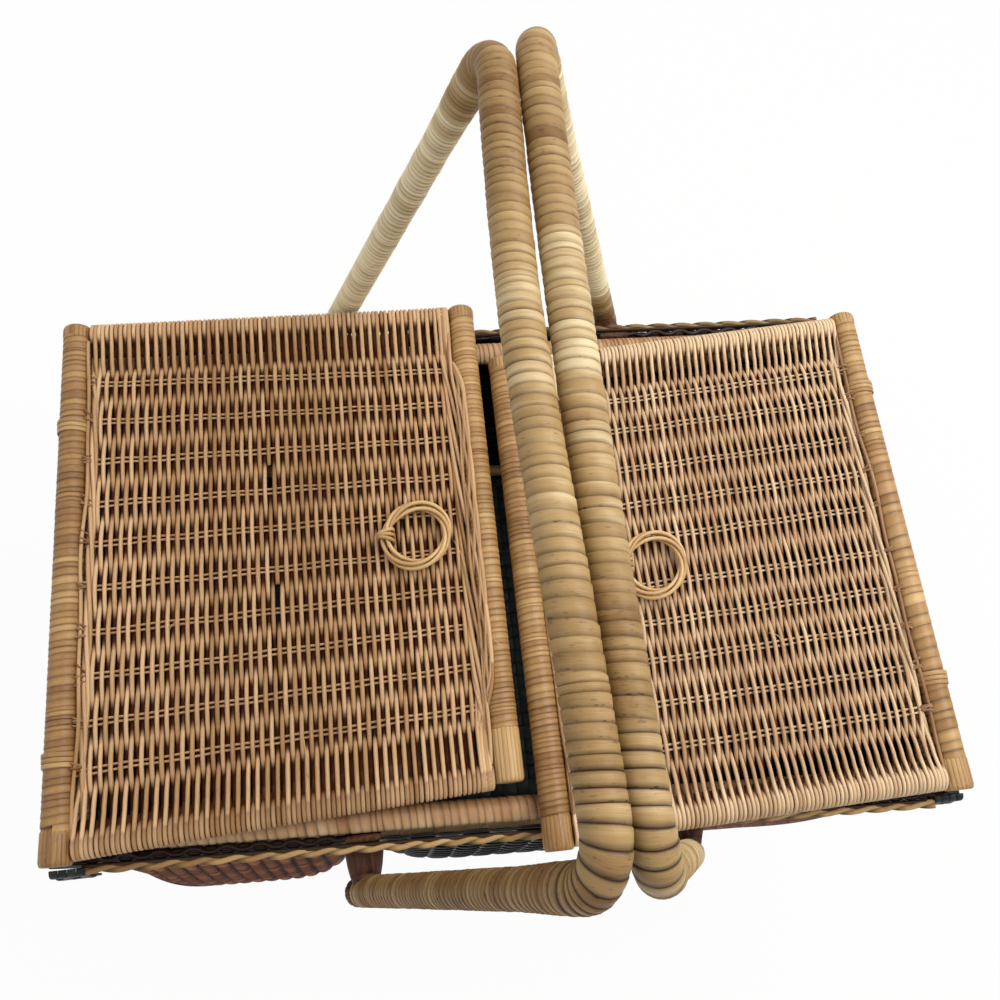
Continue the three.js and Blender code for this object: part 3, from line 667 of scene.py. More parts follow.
for side, way in OUTWARD.items():
    for word in ("left", "right"):
        stem = f"{side}_{word}"
        low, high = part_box(f"{stem}_post")
        near, far = sorted((abs(low.y), abs(high.y)))
        strip = sorted((way * far, way * (far - POST_WALL)))
        block = sorted((way * (far - POST_WALL), way * near))
        head = rim_height - (rim_high.z - rim_low.z) / 2 - POST_UNDER_RIM
        block_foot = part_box(f"{side}_hoop")[0].z + BLOCK_LIFT
        blocks = [
            ((low.x, strip[0], low.z), (high.x, strip[1], high.z)),
            ((low.x, block[0], block_foot), (high.x, block[1], head)),
        ]
        post = eased_block(f"{stem}_post_timber", blocks, POST_EASE, post_finish)
        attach(post, "basket")
        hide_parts(f"{stem}_post")

        low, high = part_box(f"{stem}_peg")
        near, far = sorted((abs(low.y), abs(high.y)))
        x, _, z = middle_of(f"{stem}_peg")
        knob = (high.z - low.z) / 2
        line = straight((x, way * near, z), (x, way * far, z), (1, 0, 0), 0.001)
        long = line.length
        peg = Bundle()
        turned(peg, line, [
            (0.0, 0.0008), (0.0, knob - 0.0022), (0.0008, knob - 0.0006), (0.0020, knob),
            (0.0034, knob - 0.0004), (PEG_HEAD, knob - 0.0014), (PEG_HEAD, PEG_SHANK),
            (long - 0.0012, PEG_SHANK), (long, PEG_SHANK - 0.0010), (long, 0.0008),
        ], SPACER_COLUMNS)
        peg = peg.build(f"{stem}_peg_turned", spacer_finish)
        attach(peg, "basket")
        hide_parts(f"{stem}_peg")

        low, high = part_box(f"{stem}_spacer")
        near, far = sorted((abs(low.y), abs(high.y)))
        base = (high.z - low.z) / 2
        tip = base - SPACER_TAPER
        line = straight((x, way * near, z), (x, way * far, z), (1, 0, 0), 0.001)
        long = line.length
        spacer = Bundle()
        turned(spacer, line, [
            (0.0, SPACER_BORE), (0.0, base - 0.0010), (0.0006, base - 0.0001), (SPACER_BEAD, base),
            (2 * SPACER_BEAD, base - 0.0002), (0.40 * long, base - 0.0006), (0.72 * long, base - 0.0013),
            (long - 0.0001, tip), (long, tip - 0.0001), (long, SPACER_BORE),
        ], SPACER_COLUMNS)
        spacer = spacer.build(f"{stem}_spacer_turned", spacer_finish)
        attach(spacer, "basket")
        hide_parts(f"{stem}_spacer")


# The rim is four round bars, front, back and ends, each bound from end to end with narrow split cane.
# The binding is one long strip wound tightly, so its turns differ in width and stand a little proud.
RIM_WRAP = {"front": 0.0048, "back": 0.0030, "left": 0.0027, "right": 0.0027}
RIM_GRIME = 0.42           # how much browner the binding is on top, towards the inside of the basket
GRIME_TURN = 0.6
RIM_TONE = {"front": 0.36, "back": 0.36, "left": 0.4, "right": 0.4}
RIM_MOTTLE = {"front": 0.07, "back": 0.07, "left": 0.13, "right": 0.13}
RIM_SPREAD = {"front": 0.22, "back": 0.22, "left": 0.3, "right": 0.3}
RIM_DOME = 0.0005
RIM_PALE = (0.74, 0.55, 0.34, 1)
RIM_DEEP = (0.25, 0.115, 0.042, 1)
RIM_STAIN = (0.040, 0.012, 0.003, 1)
BAND_SHARES = np.array([1, 0.9, 0.66, 0.34, 0.1, 0])
BAND_RISES = np.array([0, 0.42, 0.74, 0.95, 1, 0.1])
BAND_DIRT = np.array([1, 0.62, 0.06, 0, 0.20, 0.95])
BAND_STEPS = 28            # points to each turn of a binding
# How dark the joints are where the grooves carry painted shade
GROOVE_SHADE = 1.15

rim_finish = cane_finish("rim_cane", RIM_PALE, RIM_DEEP, RIM_STAIN, 0.5)


def wrapped(bundle, line, start, end, radius, width, spread, dome, tone,
            sense=1, mottle=0.13, lap=1, grime=0.0, groove_shade_at=(0, 0)):
    # A strip of cane wound round a line. width and tone are rules of the place along the line.
    # sense is the hand of the winding, lap the end of the line towards which its turns overlap,
    # grime how much deeper its tone is on one side, GRIME_TURN from the line's own side direction.
    # Between the two places of its last argument the joints are darkest all through, as painted shade in
    # the grooves between the turns.
    edges = [start]
    while edges[-1] < end:
        edges.append(edges[-1] + width(edges[-1]) * np.clip(dice.normal(1, spread), 0.4, 1.8))
    edges = start + (np.array(edges) - start) * (end - start) / (edges[-1] - start)
    turns = len(edges) - 1
    count = np.arange(turns)
    t = np.linspace(0, turns - 1, (turns - 1) * BAND_STEPS + 1)
    place = np.interp(t[:, None] + BAND_SHARES, np.arange(turns + 1), edges)
    angle = (2 * math.pi * sense * t)[:, None]
    lift = np.interp(t, count, dice.uniform(0.55, 1.0, turns))[:, None]
    size = radius(place) if callable(radius) else radius
    reach = size - dome + dome * lift * BAND_RISES[::lap]
    tones = np.clip([tone(edge) for edge in edges[:-1]] + dice.normal(0, mottle, turns), 0, 1)
    worn = 0.3 + 0.7 * dice.uniform(0, 1, turns) ** 2
    # In that span the joints are at their darkest: painted shade in the grooves
    in_groove_shade = (edges[:-1] > groove_shade_at[0]) & (edges[:-1] < groove_shade_at[1])
    worn = np.interp(t, count, np.where(in_groove_shade, GROOVE_SHADE, worn))[:, None]
    wide = place[:, :1] - place[:, -1:]
    grain = np.stack(np.broadcast_arrays(wide * BAND_SHARES, 0 * t[:, None], angle * size), axis=-1)
    grid = line.ring(place, angle, reach)[:, ::sense]
    dirt_and_shade = (worn * BAND_DIRT[::lap])[:, ::sense]
    tones = np.clip(np.interp(t, count, tones)[:, None] + grime * np.cos(angle + GRIME_TURN), 0, 1)
    bundle.add(grid, tones, dirt_and_shade, grain[:, ::sense], closed=False)
    core = np.linspace(start, end, max(8, int((end - start) / 0.008)))
    inside = [float(radius(s)) if callable(radius) else radius for s in core]
    turned(bundle, line, [(s, r - dome - 0.0004) for s, r in zip(core, inside)], 16, 0.9, shade=0.9)


def bound_bar(side, line, radius, grime=0.0):
    # A rim bar with its binding, and the cut end of the pole at each end
    bar = Bundle()
    wrapped(bar, line, 0.001, line.length - 0.001, radius, lambda s: RIM_WRAP[side], RIM_SPREAD[side],
            RIM_DOME, lambda s: RIM_TONE[side], mottle=RIM_MOTTLE[side], grime=grime)
    for at, way in ((0.0, 1), (line.length, -1)):
        profile = [(at, 0.0006), (at, radius - 0.0022), (at + way * 0.0010, radius - 0.0010),
                   (at + way * 0.0060, radius - 0.0015)]
        turned(bar, line, profile[::way], 20, 0.7)
    return bar.build(f"{side}_rim_bound", rim_finish)


for side, way in OUTWARD.items():
    low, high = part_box(f"{side}_rim")
    square_y = middle_of("back_rim")[1]
    ends = [(x, way * (square_y + out_of_square(side, x)), rim_height) for x in (low.x, high.x)]
    bar = bound_bar(side, straight(ends[0], ends[1], (0, 0, 1)), (high.z - low.z) / 2, RIM_GRIME)
    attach(bar, "basket")
    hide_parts(f"{side}_rim")
for word in ("left", "right"):
    low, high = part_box(f"{word}_rim")
    x = middle_of(f"{word}_rim")[0]
    line = straight((x, low.y, rim_height), (x, high.y, rim_height), (0, 0, 1))
    bar = bound_bar(word, line, (high.x - low.x) / 2)
    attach(bar, "basket")
    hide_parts(f"{word}_rim")


# A twisted border lies along the outside of the front and back rims, just above the weave.
# Two strands of honey cane are laid round each other and tacked between the corner bindings.
BORDER_STRAND = 0.0030
BORDER_LAY = 0.0310
BORDER_SWING = 0.0012
BORDER_UNEVEN = 0.7        # how far the twist runs ahead and behind, in radians
BORDER_SAG = 0.0006
BACKING_DEPTH = 0.0016     # a flat cane behind the twist closes the gap to the rim, darkened fully as painted shade
BACKING_HEIGHT = 0.0046
BACKING_THICK = 0.0024
BORDER_PALE = (0.50, 0.32, 0.14, 1)
BORDER_DEEP = (0.20, 0.100, 0.032, 1)
# Dark colour of the painted shade under and behind the twist, and of the grime on the back border
BORDER_DIRT_AND_SHADE = (0.030, 0.014, 0.005, 1)
BORDER_GRIME = {"front": 0.0, "back": 0.55}

border_finish = cane_finish("border_cane", BORDER_PALE, BORDER_DEEP, BORDER_DIRT_AND_SHADE, 0.5, shine=0.2)
for side, way in OUTWARD.items():
    low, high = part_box(f"{side}_braid")
    height = middle_of(f"{side}_braid")[2]
    border = Bundle()
    x = np.linspace(low.x, high.x, 640)
    middle_y = middle_of("back_braid")[1] + out_of_square(side, x)
    sag = BORDER_SAG * np.sin(x * 31)
    for strand in range(2):
        turn = 2 * math.pi * x / BORDER_LAY + math.pi * strand + BORDER_UNEVEN * np.sin(x * 17)
        depth = middle_y + BORDER_SWING * np.cos(turn)
        points = np.column_stack([x, way * depth, height + sag + BORDER_SWING * np.sin(turn)])
        tone = np.clip(0.45 + 0.3 * np.sin(x * 23 + strand), 0, 1)
        # Painted shade on each strand where it turns down under the other, and grime on the back border
        shade = np.clip(0.2 - np.sin(turn), 0, 1) * 0.9 + BORDER_GRIME[side]
        border.lay(points, (0, 0, 1), BORDER_STRAND, BORDER_STRAND, tone, shade, corners=10)
    # The backing is darkened to the full as painted shade
    points = np.column_stack([x, way * (middle_y - BACKING_DEPTH), height + sag])[::8]
    border.lay(points, (0, 0, 1), BACKING_HEIGHT, BACKING_THICK, 0.9, 2.0, corners=8)
    border = border.build(f"{side}_border_twist", border_finish)
    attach(border, "basket")
    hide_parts(f"{side}_braid")


# Each corner of the body is bound with flat dark strips that rise up the wall and turn in over its edge.
# Two level strips go over and under them and hold them down.
CORNER_STRIPS = 4
CORNER_THICK = 0.0014
CORNER_DROP = 0.005        # how far the strips run on below the binding
CORNER_BARS = (0.007, 0.015)   # heights of the level strips
CORNER_BAR = 0.0060
CORNER_OVER = 0.0009       # how far a strip goes out and in
CORNER_OVER_SPAN = 0.003
CORNER_TURN = 0.0034       # radius of the turn over the edge
CORNER_TURN_DROP = 0.004
CORNER_STAND = {"left": 0.0060, "right": 0.0024}   # how far the binding stands out from the wall
CORNER_SLIP = {"front_left": 0.0022, "front_right": 0.0, "back_left": 0.0, "back_right": 0.0}

for side, way in OUTWARD.items():
    for word in ("left", "right"):
        low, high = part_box(f"{side}_{word}_corner")
        wide = (high.x - low.x) / CORNER_STRIPS
        middle_x = (low.x + high.x) / 2
        slip = CORNER_SLIP[f"{side}_{word}"]
        face = wall_out + out_of_square(side, middle_x) + CORNER_STAND[word]
        binding = Bundle()
        bars = [low.z + bar for bar in CORNER_BARS]
        for strip in range(CORNER_STRIPS):
            z = np.linspace(low.z - CORNER_DROP, high.z - CORNER_TURN_DROP, 18)
            over = np.zeros_like(z)
            for i, bar in enumerate(bars):
                over = over + np.exp(-((z - bar) / CORNER_OVER_SPAN) ** 2) * (-1) ** (strip + i)
            depth = face + CORNER_OVER * over
            turn = np.linspace(0, math.pi / 2, 7)[1:]
            over_z = high.z - CORNER_TURN_DROP + CORNER_TURN * np.sin(turn)
            over_depth = depth[-1] - CORNER_TURN * (1 - np.cos(turn))
            z = np.concatenate([z, over_z])
            depth = np.concatenate([depth, over_depth])
            x = np.full_like(z, low.x + slip + (strip + 0.5) * wide)
            points = np.column_stack([x, way * depth, z])
            tone = dice.uniform(0.2, 0.8)
            binding.lay_strip(points, (1, 0, 0), wide * 0.96, CORNER_THICK, tone, flat=0.45)
        for i, bar in enumerate(bars):
            x = np.linspace(low.x + 0.0005, high.x - 0.0005, 25)
            depth = face - CORNER_OVER * np.cos(math.pi * ((x - low.x) / wide - 0.5)) * (-1) ** i
            points = np.column_stack([x + slip, way * depth, np.full_like(x, bar)])
            binding.lay_strip(points, (0, 0, 1), CORNER_BAR, CORNER_THICK, 0.5, flat=0.45)
        binding = binding.build(f"{side}_{word}_corner_strips", black_green_finish)
        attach(binding, "basket")
        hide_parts(f"{side}_{word}_corner")


# Four loops of flat cane are the hinges: each ties a lid's outer pole to the end rim and lets it turn.
# A loop is three turns of one strip lying side by side, with its end tucked under.
LOOP_STRIPS = 3
LOOP_THICK = 0.0008
LOOP_PROUD = 0.0002
LOOP_STEP = 0.00015        # each turn of a loop stands out a little past the last
POLE_PALE = (0.50, 0.315, 0.130, 1)
POLE_DEEP = (0.200, 0.092, 0.024, 1)
POLE_STAIN = (0.026, 0.007, 0.001, 1)

pole_finish = cane_finish("pole_cane", POLE_PALE, POLE_DEEP, POLE_STAIN, 0.46, gloss=0.06, specks=0.3)


def belt(a, radius_a, b, radius_b, steps):
    # A taut line round two circles in the plane of x and z
    run = b - a
    heading = math.atan2(run[1], run[0])
    opening = math.acos((radius_a - radius_b) / np.linalg.norm(run))
    turn_a = np.linspace(heading + opening, heading - opening + 2 * math.pi, steps)
    turn_b = np.linspace(heading - opening, heading + opening, steps)
    ring_a = a + radius_a * np.column_stack([np.cos(turn_a), np.sin(turn_a)])
    ring_b = b + radius_b * np.column_stack([np.cos(turn_b), np.sin(turn_b)])
    return np.concatenate([ring_a, ring_b, ring_a[:3]])


for word in ("left", "right"):
    pole_low, pole_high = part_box(f"{word}_lid_outer_pole")
    bar_low, bar_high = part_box(f"{word}_rim")
    pole = np.array(middle_of(f"{word}_lid_outer_pole"))[[0, 2]]
    bar = np.array([middle_of(f"{word}_rim")[0], rim_height])
    pole_radius = (pole_high.z - pole_low.z) / 2
    bar_radius = (bar_high.z - bar_low.z) / 2
    for end in OUTWARD:
        low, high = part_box(f"{word}_{end}_hinge_loop")
        wide = (high.y - low.y) / LOOP_STRIPS
        loop = Bundle()
        for strip in range(LOOP_STRIPS):
            proud = LOOP_PROUD + LOOP_STEP * strip
            line = belt(pole, pole_radius + proud, bar, bar_radius + proud, 26)
            y = low.y + (strip + 0.5) * wide
            points = np.column_stack([line[:, 0], np.full(len(line), y), line[:, 1]])
            tone = dice.uniform(0.2, 0.7)
            loop.lay_strip(points, (0, 1, 0), wide * 0.96, LOOP_THICK, tone, 0.1, 0.5)
        loop = loop.build(f"{word}_{end}_hinge_cane", pole_finish)
        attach(loop, "basket")
        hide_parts(f"{word}_{end}_hinge_loop")


# Each lid is framed by two stout poles, bound with split cane and capped at both ends with strips laid
# lengthwise. The outer pole turns in the hinge loops; the inner one is the free edge of the lid.
POLE_WRAP = {              # width of the binding at the front and at the back
    "left_outer": (0.0038, 0.0038), "left_inner": (0.0032, 0.0032),
    "right_inner": (0.0034, 0.0034), "right_outer": (0.0064, 0.0042),
}
POLE_SPREAD = 0.24
POLE_DOME = 0.0004
POLE_CAP = {"front": 0.0185, "back": 0.0090}
COVERED_CAP = 0.030        # front end of the left lid's inner pole, covered by strands of the web
POLE_CAP_STRIPS = 21
POLE_COLUMNS = 126
POLE_BASE = {"left_outer": 0.69, "left_inner": 0.52, "right_inner": 0.66, "right_outer": 0.47}
COVERED_TONE = 0.1
CAP_GROOVE = 0.00028


def capped_end(bundle, line, at, way, length, radius, strips, base=0.5):
    # Strips laid lengthwise over the end of a pole and pressed in round its edge
    inner = at - way * length
    profile = [
        (inner, radius - 0.0009), (inner + way * 0.0016, radius - 0.0002),
        (inner + way * 0.5 * length, radius), (at - way * 0.0026, radius),
        (at - way * 0.0010, radius - 0.0004), (at - way * 0.0002, radius - 0.0012),
        (at, radius - 0.0026), (at, 0.3 * radius), (at, 0.0007),
    ]
    tone = np.clip(base + dice.normal(0, 0.14, strips), 0, 1)
    round_it = np.arange(POLE_COLUMNS) * strips / POLE_COLUMNS
    tones = np.interp(round_it, np.arange(strips), tone)[None, :]
    turned(bundle, line, profile[::way], POLE_COLUMNS, tones, strips, CAP_GROOVE)


for word in ("left", "right"):
    for edge in ("outer", "inner"):
        name = f"{word}_{edge}"
        low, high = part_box(f"{word}_lid_{edge}_pole")
        radius = (high.z - low.z) / 2
        middle = (low + high) / 2
        line = straight((middle.x, low.y, middle.z), (middle.x, high.y, middle.z), (0, 0, 1))
        pole = Bundle()
        bare = line.length - POLE_CAP["back"]
        base = POLE_BASE[name]
        covered = name == "left_inner"
        front_cap = COVERED_CAP if covered else POLE_CAP["front"]
        wide, narrow = POLE_WRAP[name]
        wrapped(pole, line, front_cap - wide, bare + narrow, radius - 0.0002,
                lambda s: wide + (narrow - wide) * float(smooth((s / line.length - 0.55) / 0.2)),
                POLE_SPREAD, POLE_DOME, lambda s: base + 0.12 * math.sin(s * 40))
        cap_tone = COVERED_TONE if covered else base
        capped_end(pole, line, 0.0, -1, front_cap, radius, POLE_CAP_STRIPS, cap_tone)
        capped_end(pole, line, line.length, 1, POLE_CAP["back"], radius, POLE_CAP_STRIPS, base)
        pole = pole.build(f"{word}_{edge}_pole_bound", pole_finish)
        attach(pole, f"{word}_lid")
        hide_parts(f"{word}_lid_{edge}_pole")


# The web of a lid: thin reed strands side by side loop over the front and back rails and pass over and
# under pairs of thin rods from pole to pole. Loose strands twist along the poles and hide the rod ends.
STRAND_PITCH = 0.00236
STRAND_WIDTH = 0.00240
STRAND_THICK = 0.0021
ROD_THICK = 0.00140
ROD_APART = 0.0026
ROD_ROWS = 10
ROD_PITCH = 0.0242
ROD_FIRST = {"left": 0.0013, "right": 0.0038}
WEB_WAVE = 0.0020
BRIDGE_RISE = 0.0034       # strands that cross the gap beside a rail, above the middle of the web
DIVE = -0.0034             # strands that go down at the rail
BRIDGE_LEAVES = 102        # where they leave the rail, in degrees from its outside
DIVE_LEAVES = 156
RAIL_CORE = 0.0057
WRAP_RADIUS = RAIL_CORE + STRAND_THICK / 2
CLIMB_PULL = 0.008         # how stiffly a strand keeps its direction between the web and the rail
CLIMB_RISE = 0.0018
END_ROW = 0.0050           # where the strands part, from the inside of a rail
REAR_REACH = {"left": 0.0022, "right": 0.0}    # how much further out the back rail is wound
FRONT_SKEW = {"left": 0.0034, "right": 0.0}    # and the front rail at its inner end
WOUND_TO = -105            # where a strand leaves the underside of the rail, in degrees
TAIL = ((0.006, 0.0002), (0.011, 0.0012))      # its end under the web: how far in, and how far up
STRAND_UNEVEN = 0.00015    # how far strands are out of place up and down, and sideways
STRAND_ASTRAY = 0.00012
ROD_UNEVEN = 0.0009
UNDER_FROM = -0.0002       # strands are darkened from here down, fully this much lower: dirt, and painted shade where they pass under others
UNDER_OVER = 0.0013
UNDER_DIRT_AND_SHADE = 1.2
RAIL_MARGIN = 0.0010
WEB_MARGIN = 0.0018
GATHER = 0.0021            # width on the rail of one loose strand, and of all of them at most
GATHER_MOST = 0.0075
SPREAD_FROM = 0.085        # from here to the rails the strands spread out to their places on them
EDGE_ZONE = {"left": (0.0065, 0.0075), "right": (0.0085, 0.0065)}
EDGE_STRANDS = {"left": (3, 8), "right": (5, 3)}
EDGE_LAY = {"left": (0.10, 0.27), "right": (0.23, 0.10)}
EDGE_OVER = {"left": 0.0070, "right": 0.0}     # loose strands that lie up on the inner pole
EDGE_INSET = 0.0020
EDGE_HEIGHT = 0.0010
EDGE_SWING = 0.0016
EDGE_PROUD = 0.0008
ROW_FAN = {"left": -0.030, "right": 0.0}
BROKEN = {"left": [(-0.1346, 0.0512, 0.0638), (-0.1318, -0.0268, -0.0095)], "right": []}
WEB_PALE = {"left": (0.58, 0.375, 0.205, 1), "right": (0.66, 0.485, 0.300, 1)}
WEB_DEEP = {"left": (0.24, 0.118, 0.045, 1), "right": (0.33, 0.190, 0.100, 1)}
# Dark colour of the web's dirt and of its painted shade in the gaps and under strands
WEB_DIRT_AND_SHADE = {"left": (0.070, 0.014, 0.0008, 1), "right": (0.150, 0.048, 0.010, 1)}
FIELD_TONE = {"left": 0.40, "right": 0.56}
FIELD_LEAN = {"left": 0.0, "right": 0.9}       # how much deeper the tone gets towards the front, as painted shade where less light falls
FRONT_GRIME = {"left": 0.55, "right": 0.12}    # brown on top of the hem over the front rail
RAIL_TONE = {"left": -0.12, "right": -0.46}
KNOT_FIBRES = 4            # cut ends of thin cane where a pair of rods is tied to the outer pole
KNOT_THICK = 0.0015
BESIDE_POLE = (0.0021, 0.0018)     # width and thickness of the wavy strand that lies against each pole
BESIDE_HEIGHT = 0.0046
BESIDE_TONE = {"left": 0.35, "right": 0.85}
# The wavy strands beside the poles carry painted shade, most on the right lid, where the lamp lights them
# brightly
BESIDE_SHADE = {"left": 0.1, "right": 0.45}
BESIDE_PHASE = {"left": 0.4, "right": 2.1}
STRAY_HEIGHT = 0.0040
STRAY_BEND = 0.0016
STRAY_THICK = (0.0005, 0.0004)
STRAYS = {                 # where a loose fibre starts on a lid, and how far it runs
    "left": [(-0.018, -0.046, 0.013, -0.016), (-0.030, 0.010, 0.006, -0.020),
             (-0.190, -0.030, 0.010, 0.004), (-0.120, -0.095, 0.002, -0.022)],
    "right": [(0.150, -0.060, 0.008, -0.010)],
}


def hermite(start, start_run, end, end_run, steps):
    # A curve from one point to another with a given direction at each
    t = np.linspace(0, 1, steps)[:, None]
    return ((2 * t ** 3 - 3 * t ** 2 + 1) * start + (t ** 3 - 2 * t ** 2 + t) * start_run
            + (3 * t ** 2 - 2 * t ** 3) * end + (t ** 3 - t ** 2) * end_run)


def over_rail(begin, bridging, rail_at, grime):
    # The end of a strand, up to a rail, round it and a little way back under the web, and its darkening:
    # painted shade where a diving strand climbs down, on the rail's inner shoulder and on the tail under
    # the web, with brown grime on top of the front hem.
    # Each point is how far out from the middle of the lid it is, and how high.
    degrees = np.linspace(BRIDGE_LEAVES if bridging else DIVE_LEAVES, WOUND_TO, 14)
    turns = np.radians(degrees)
    wound = np.column_stack([rail_at + WRAP_RADIUS * np.cos(turns), WRAP_RADIUS * np.sin(turns)])
    leave = np.array([CLIMB_PULL, CLIMB_RISE if bridging else 0.0])
    meet = CLIMB_PULL * np.array([math.sin(turns[0]), -math.cos(turns[0])])
    climb = hermite(np.array(begin), leave, wound[0], meet, 7)[1:-1]
    tail = [(rail_at - inward, upward - WRAP_RADIUS) for inward, upward in TAIL]
    # Painted shade on the climb of a diving strand, on the rail's inner shoulder and on the tail; grime
    # adds brown on top of the hem
    climbing = np.full(len(climb), 0.0 if bridging else 1.0)
    shoulder = np.clip((degrees - 112) / 30, 0, 1)
    shoulder = np.maximum(shoulder, grime * np.clip((degrees - 45) / 70, 0, 1))
    return np.concatenate([climb, wound, tail]), np.concatenate([climbing, shoulder, [0.6, 1.0]])


for word in ("left", "right"):
    web_finish = cane_finish(f"{word}_web_reed", WEB_PALE[word], WEB_DEEP[word], WEB_DIRT_AND_SHADE[word], 0.55,
                             shine=0.13)
    outer_low, outer_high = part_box(f"{word}_lid_outer_pole")
    inner_low, inner_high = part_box(f"{word}_lid_inner_pole")
    outer = (outer_low + outer_high) / 2
    inner = (inner_low + inner_high) / 2
    middle = (outer + inner) / 2
    rack = (inner.y - outer.y) / (inner.x - outer.x)
    outer_reach = outer_high.y - outer_low.y
    inner_reach = inner_high.y - inner_low.y
    flare = (inner_reach - outer_reach) / (inner.x - outer.x) / ((inner_reach + outer_reach) / 2)
    pole_radius = (outer_high.z - outer_low.z) / 2
    half_web = abs(inner.x - outer.x) / 2 - pole_radius
    back_low, back_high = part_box(f"{word}_lid_back_rail")
    front_low, front_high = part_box(f"{word}_lid_front_rail")
    rail_place = (back_low.y + back_high.y - front_low.y - front_high.y) / 4
    rail_radius = (back_high.z - back_low.z) / 2
    strands = 2 * int(half_web / STRAND_PITCH)
    zone = EDGE_ZONE[word]
    loose = EDGE_STRANDS[word]
    woven = strands - sum(loose)
    gather = [min(count * GATHER, GATHER_MOST) for count in loose]
    rail_x = np.concatenate([
        np.linspace(-half_web + RAIL_MARGIN, -half_web + gather[0] - 0.0011, loose[0]),
        np.linspace(-half_web + gather[0] + RAIL_MARGIN, half_web - gather[1] - RAIL_MARGIN, woven),
        np.linspace(half_web - gather[1] + 0.0011, half_web - RAIL_MARGIN, loose[1]),
    ])
    web_x = np.concatenate([
        np.linspace(-half_web + WEB_MARGIN, -half_web + zone[0] - 0.002, loose[0]),
        np.linspace(-half_web + zone[0], half_web - zone[1], woven),
        np.linspace(half_web - zone[1] + 0.002, half_web - WEB_MARGIN, loose[1]),
    ])
    rows = ROD_FIRST[word] + (np.arange(ROD_ROWS) - (ROD_ROWS - 1) / 2) * ROD_PITCH
    rows = rows + dice.normal(0, ROD_UNEVEN, ROD_ROWS)
    fan = ROW_FAN[word] * np.arange(ROD_ROWS) / (ROD_ROWS - 1)
    end_row = rail_place - rail_radius - END_ROW
    outer_way = -1 if word == "left" else 1

    def rail_line(way, x):
        # How far from the middle of the lid its front or back rail is wound
        inward = 0.5 - outer_way * x / (2 * half_web)
        return rail_place + (REAR_REACH[word] if way > 0 else FRONT_SKEW[word] * inward)

    def in_lid(x, y, z):
        # From the lid's own square directions to where the lid is, out of square
        return np.column_stack([middle.x + x, middle.y + y * (1 + flare * x) + rack * x, middle.z + z])

    web = Bundle()
    for i in range(strands):
        crossings = np.concatenate([[-end_row], rows + fan * web_x[i], [end_row]])
        heights = WEB_WAVE * (-1.0) ** (i + np.arange(len(crossings)))
        heights = heights + dice.normal(0, STRAND_UNEVEN, len(crossings))
        for at in (0, -1):
            heights[at] = BRIDGE_RISE if heights[at] > 0 else DIVE
        edge_left = i < loose[0]
        edge_right = i >= strands - loose[1]
        y = np.concatenate([
            np.linspace(crossings[k], crossings[k + 1], 9)[:-1] for k in range(len(crossings) - 1)
        ] + [[crossings[-1]]])
        share = np.interp(y, crossings, np.arange(len(crossings)))
        low_k = np.clip(np.floor(share).astype(int), 0, len(crossings) - 2)
        blend = (1 - np.cos(math.pi * (share - low_k))) / 2
        z = heights[low_k] + (heights[low_k + 1] - heights[low_k]) * blend
        toward = smooth((np.abs(y) - SPREAD_FROM) / (end_row - SPREAD_FROM))
        x = web_x[i] + (rail_x[i] - web_x[i]) * toward + dice.normal(0, STRAND_ASTRAY)
        if edge_left or edge_right:
            hand = 0 if edge_left else 1
            order = i if edge_left else i - (strands - loose[1])
            wide = zone[hand] + (EDGE_OVER[word] if edge_right else 0.0)
            centre = -half_web + wide / 2 if edge_left else half_web + EDGE_OVER[word] - wide / 2
            turn = 2 * math.pi * (y / EDGE_LAY[word][hand] + order / loose[hand])
            x = (centre + (0.5 * wide - EDGE_INSET) * np.cos(turn)) * (1 - toward) + rail_x[i] * toward
            z = (EDGE_HEIGHT + EDGE_SWING * np.sin(turn)) * (1 - toward) + z * toward
            over = np.clip(x - half_web, 0, pole_radius)
            z = np.maximum(z, np.sqrt(over * (2 * pole_radius - over)) + EDGE_PROUD * (over > 0))
        sides = []
        dirt_and_shade = []
        for way, at in ((-1, 0), (1, -1)):
            grime = FRONT_GRIME[word] if way < 0 else 0.0
            rail_at = rail_line(way, rail_x[i])
            path, path_dirt_and_shade = over_rail((abs(y[at]), z[at]), heights[at] > 0, rail_at, grime)
            sides.append(path * (way, 1))
            dirt_and_shade.append(path_dirt_and_shade)
        full_y = np.concatenate([sides[0][::-1, 0], y, sides[1][:, 0]])
        full_z = np.concatenate([sides[0][::-1, 1], z, sides[1][:, 1]])
        full_x = np.concatenate([np.full(len(sides[0]), x[0]), x, np.full(len(sides[1]), x[-1])])
        points = in_lid(full_x, full_y, full_z)
        on_rail = smooth((np.abs(full_y) - end_row) / 0.006)
        width = STRAND_WIDTH * dice.uniform(0.94, 1.06) * (1 - 0.03 * on_rail)
        # Dirt and painted shade on the low parts of a strand, where it passes under others
        under = UNDER_DIRT_AND_SHADE * np.clip((UNDER_FROM - z) / UNDER_OVER, 0, 1)
        shade = np.concatenate([dirt_and_shade[0][::-1], under, dirt_and_shade[1]])
        patch = 0.09 * np.sin(full_x * 29 + 1.3) + 0.09 * np.sin(full_y * 23 + full_x * 11)
        patch = patch - FIELD_LEAN[word] * full_y
        tone = np.clip(dice.normal(FIELD_TONE[word], 0.16) + patch + RAIL_TONE[word] * on_rail, 0, 1)
        pieces = [np.ones(len(points), bool)]
        for cut_x, cut_low, cut_high in BROKEN[word]:
            if abs(middle.x + web_x[i] - cut_x) < STRAND_PITCH / 2:
                pieces = [points[:, 1] < cut_low, points[:, 1] > cut_high]
        for kept in pieces:
            web.lay(points[kept], (1, 0, 0), width[kept], STRAND_THICK, tone[kept], shade[kept])
    web = web.build(f"{word}_lid_strands", web_finish)
    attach(web, f"{word}_lid")
    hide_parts(f"{word}_lid_panel")

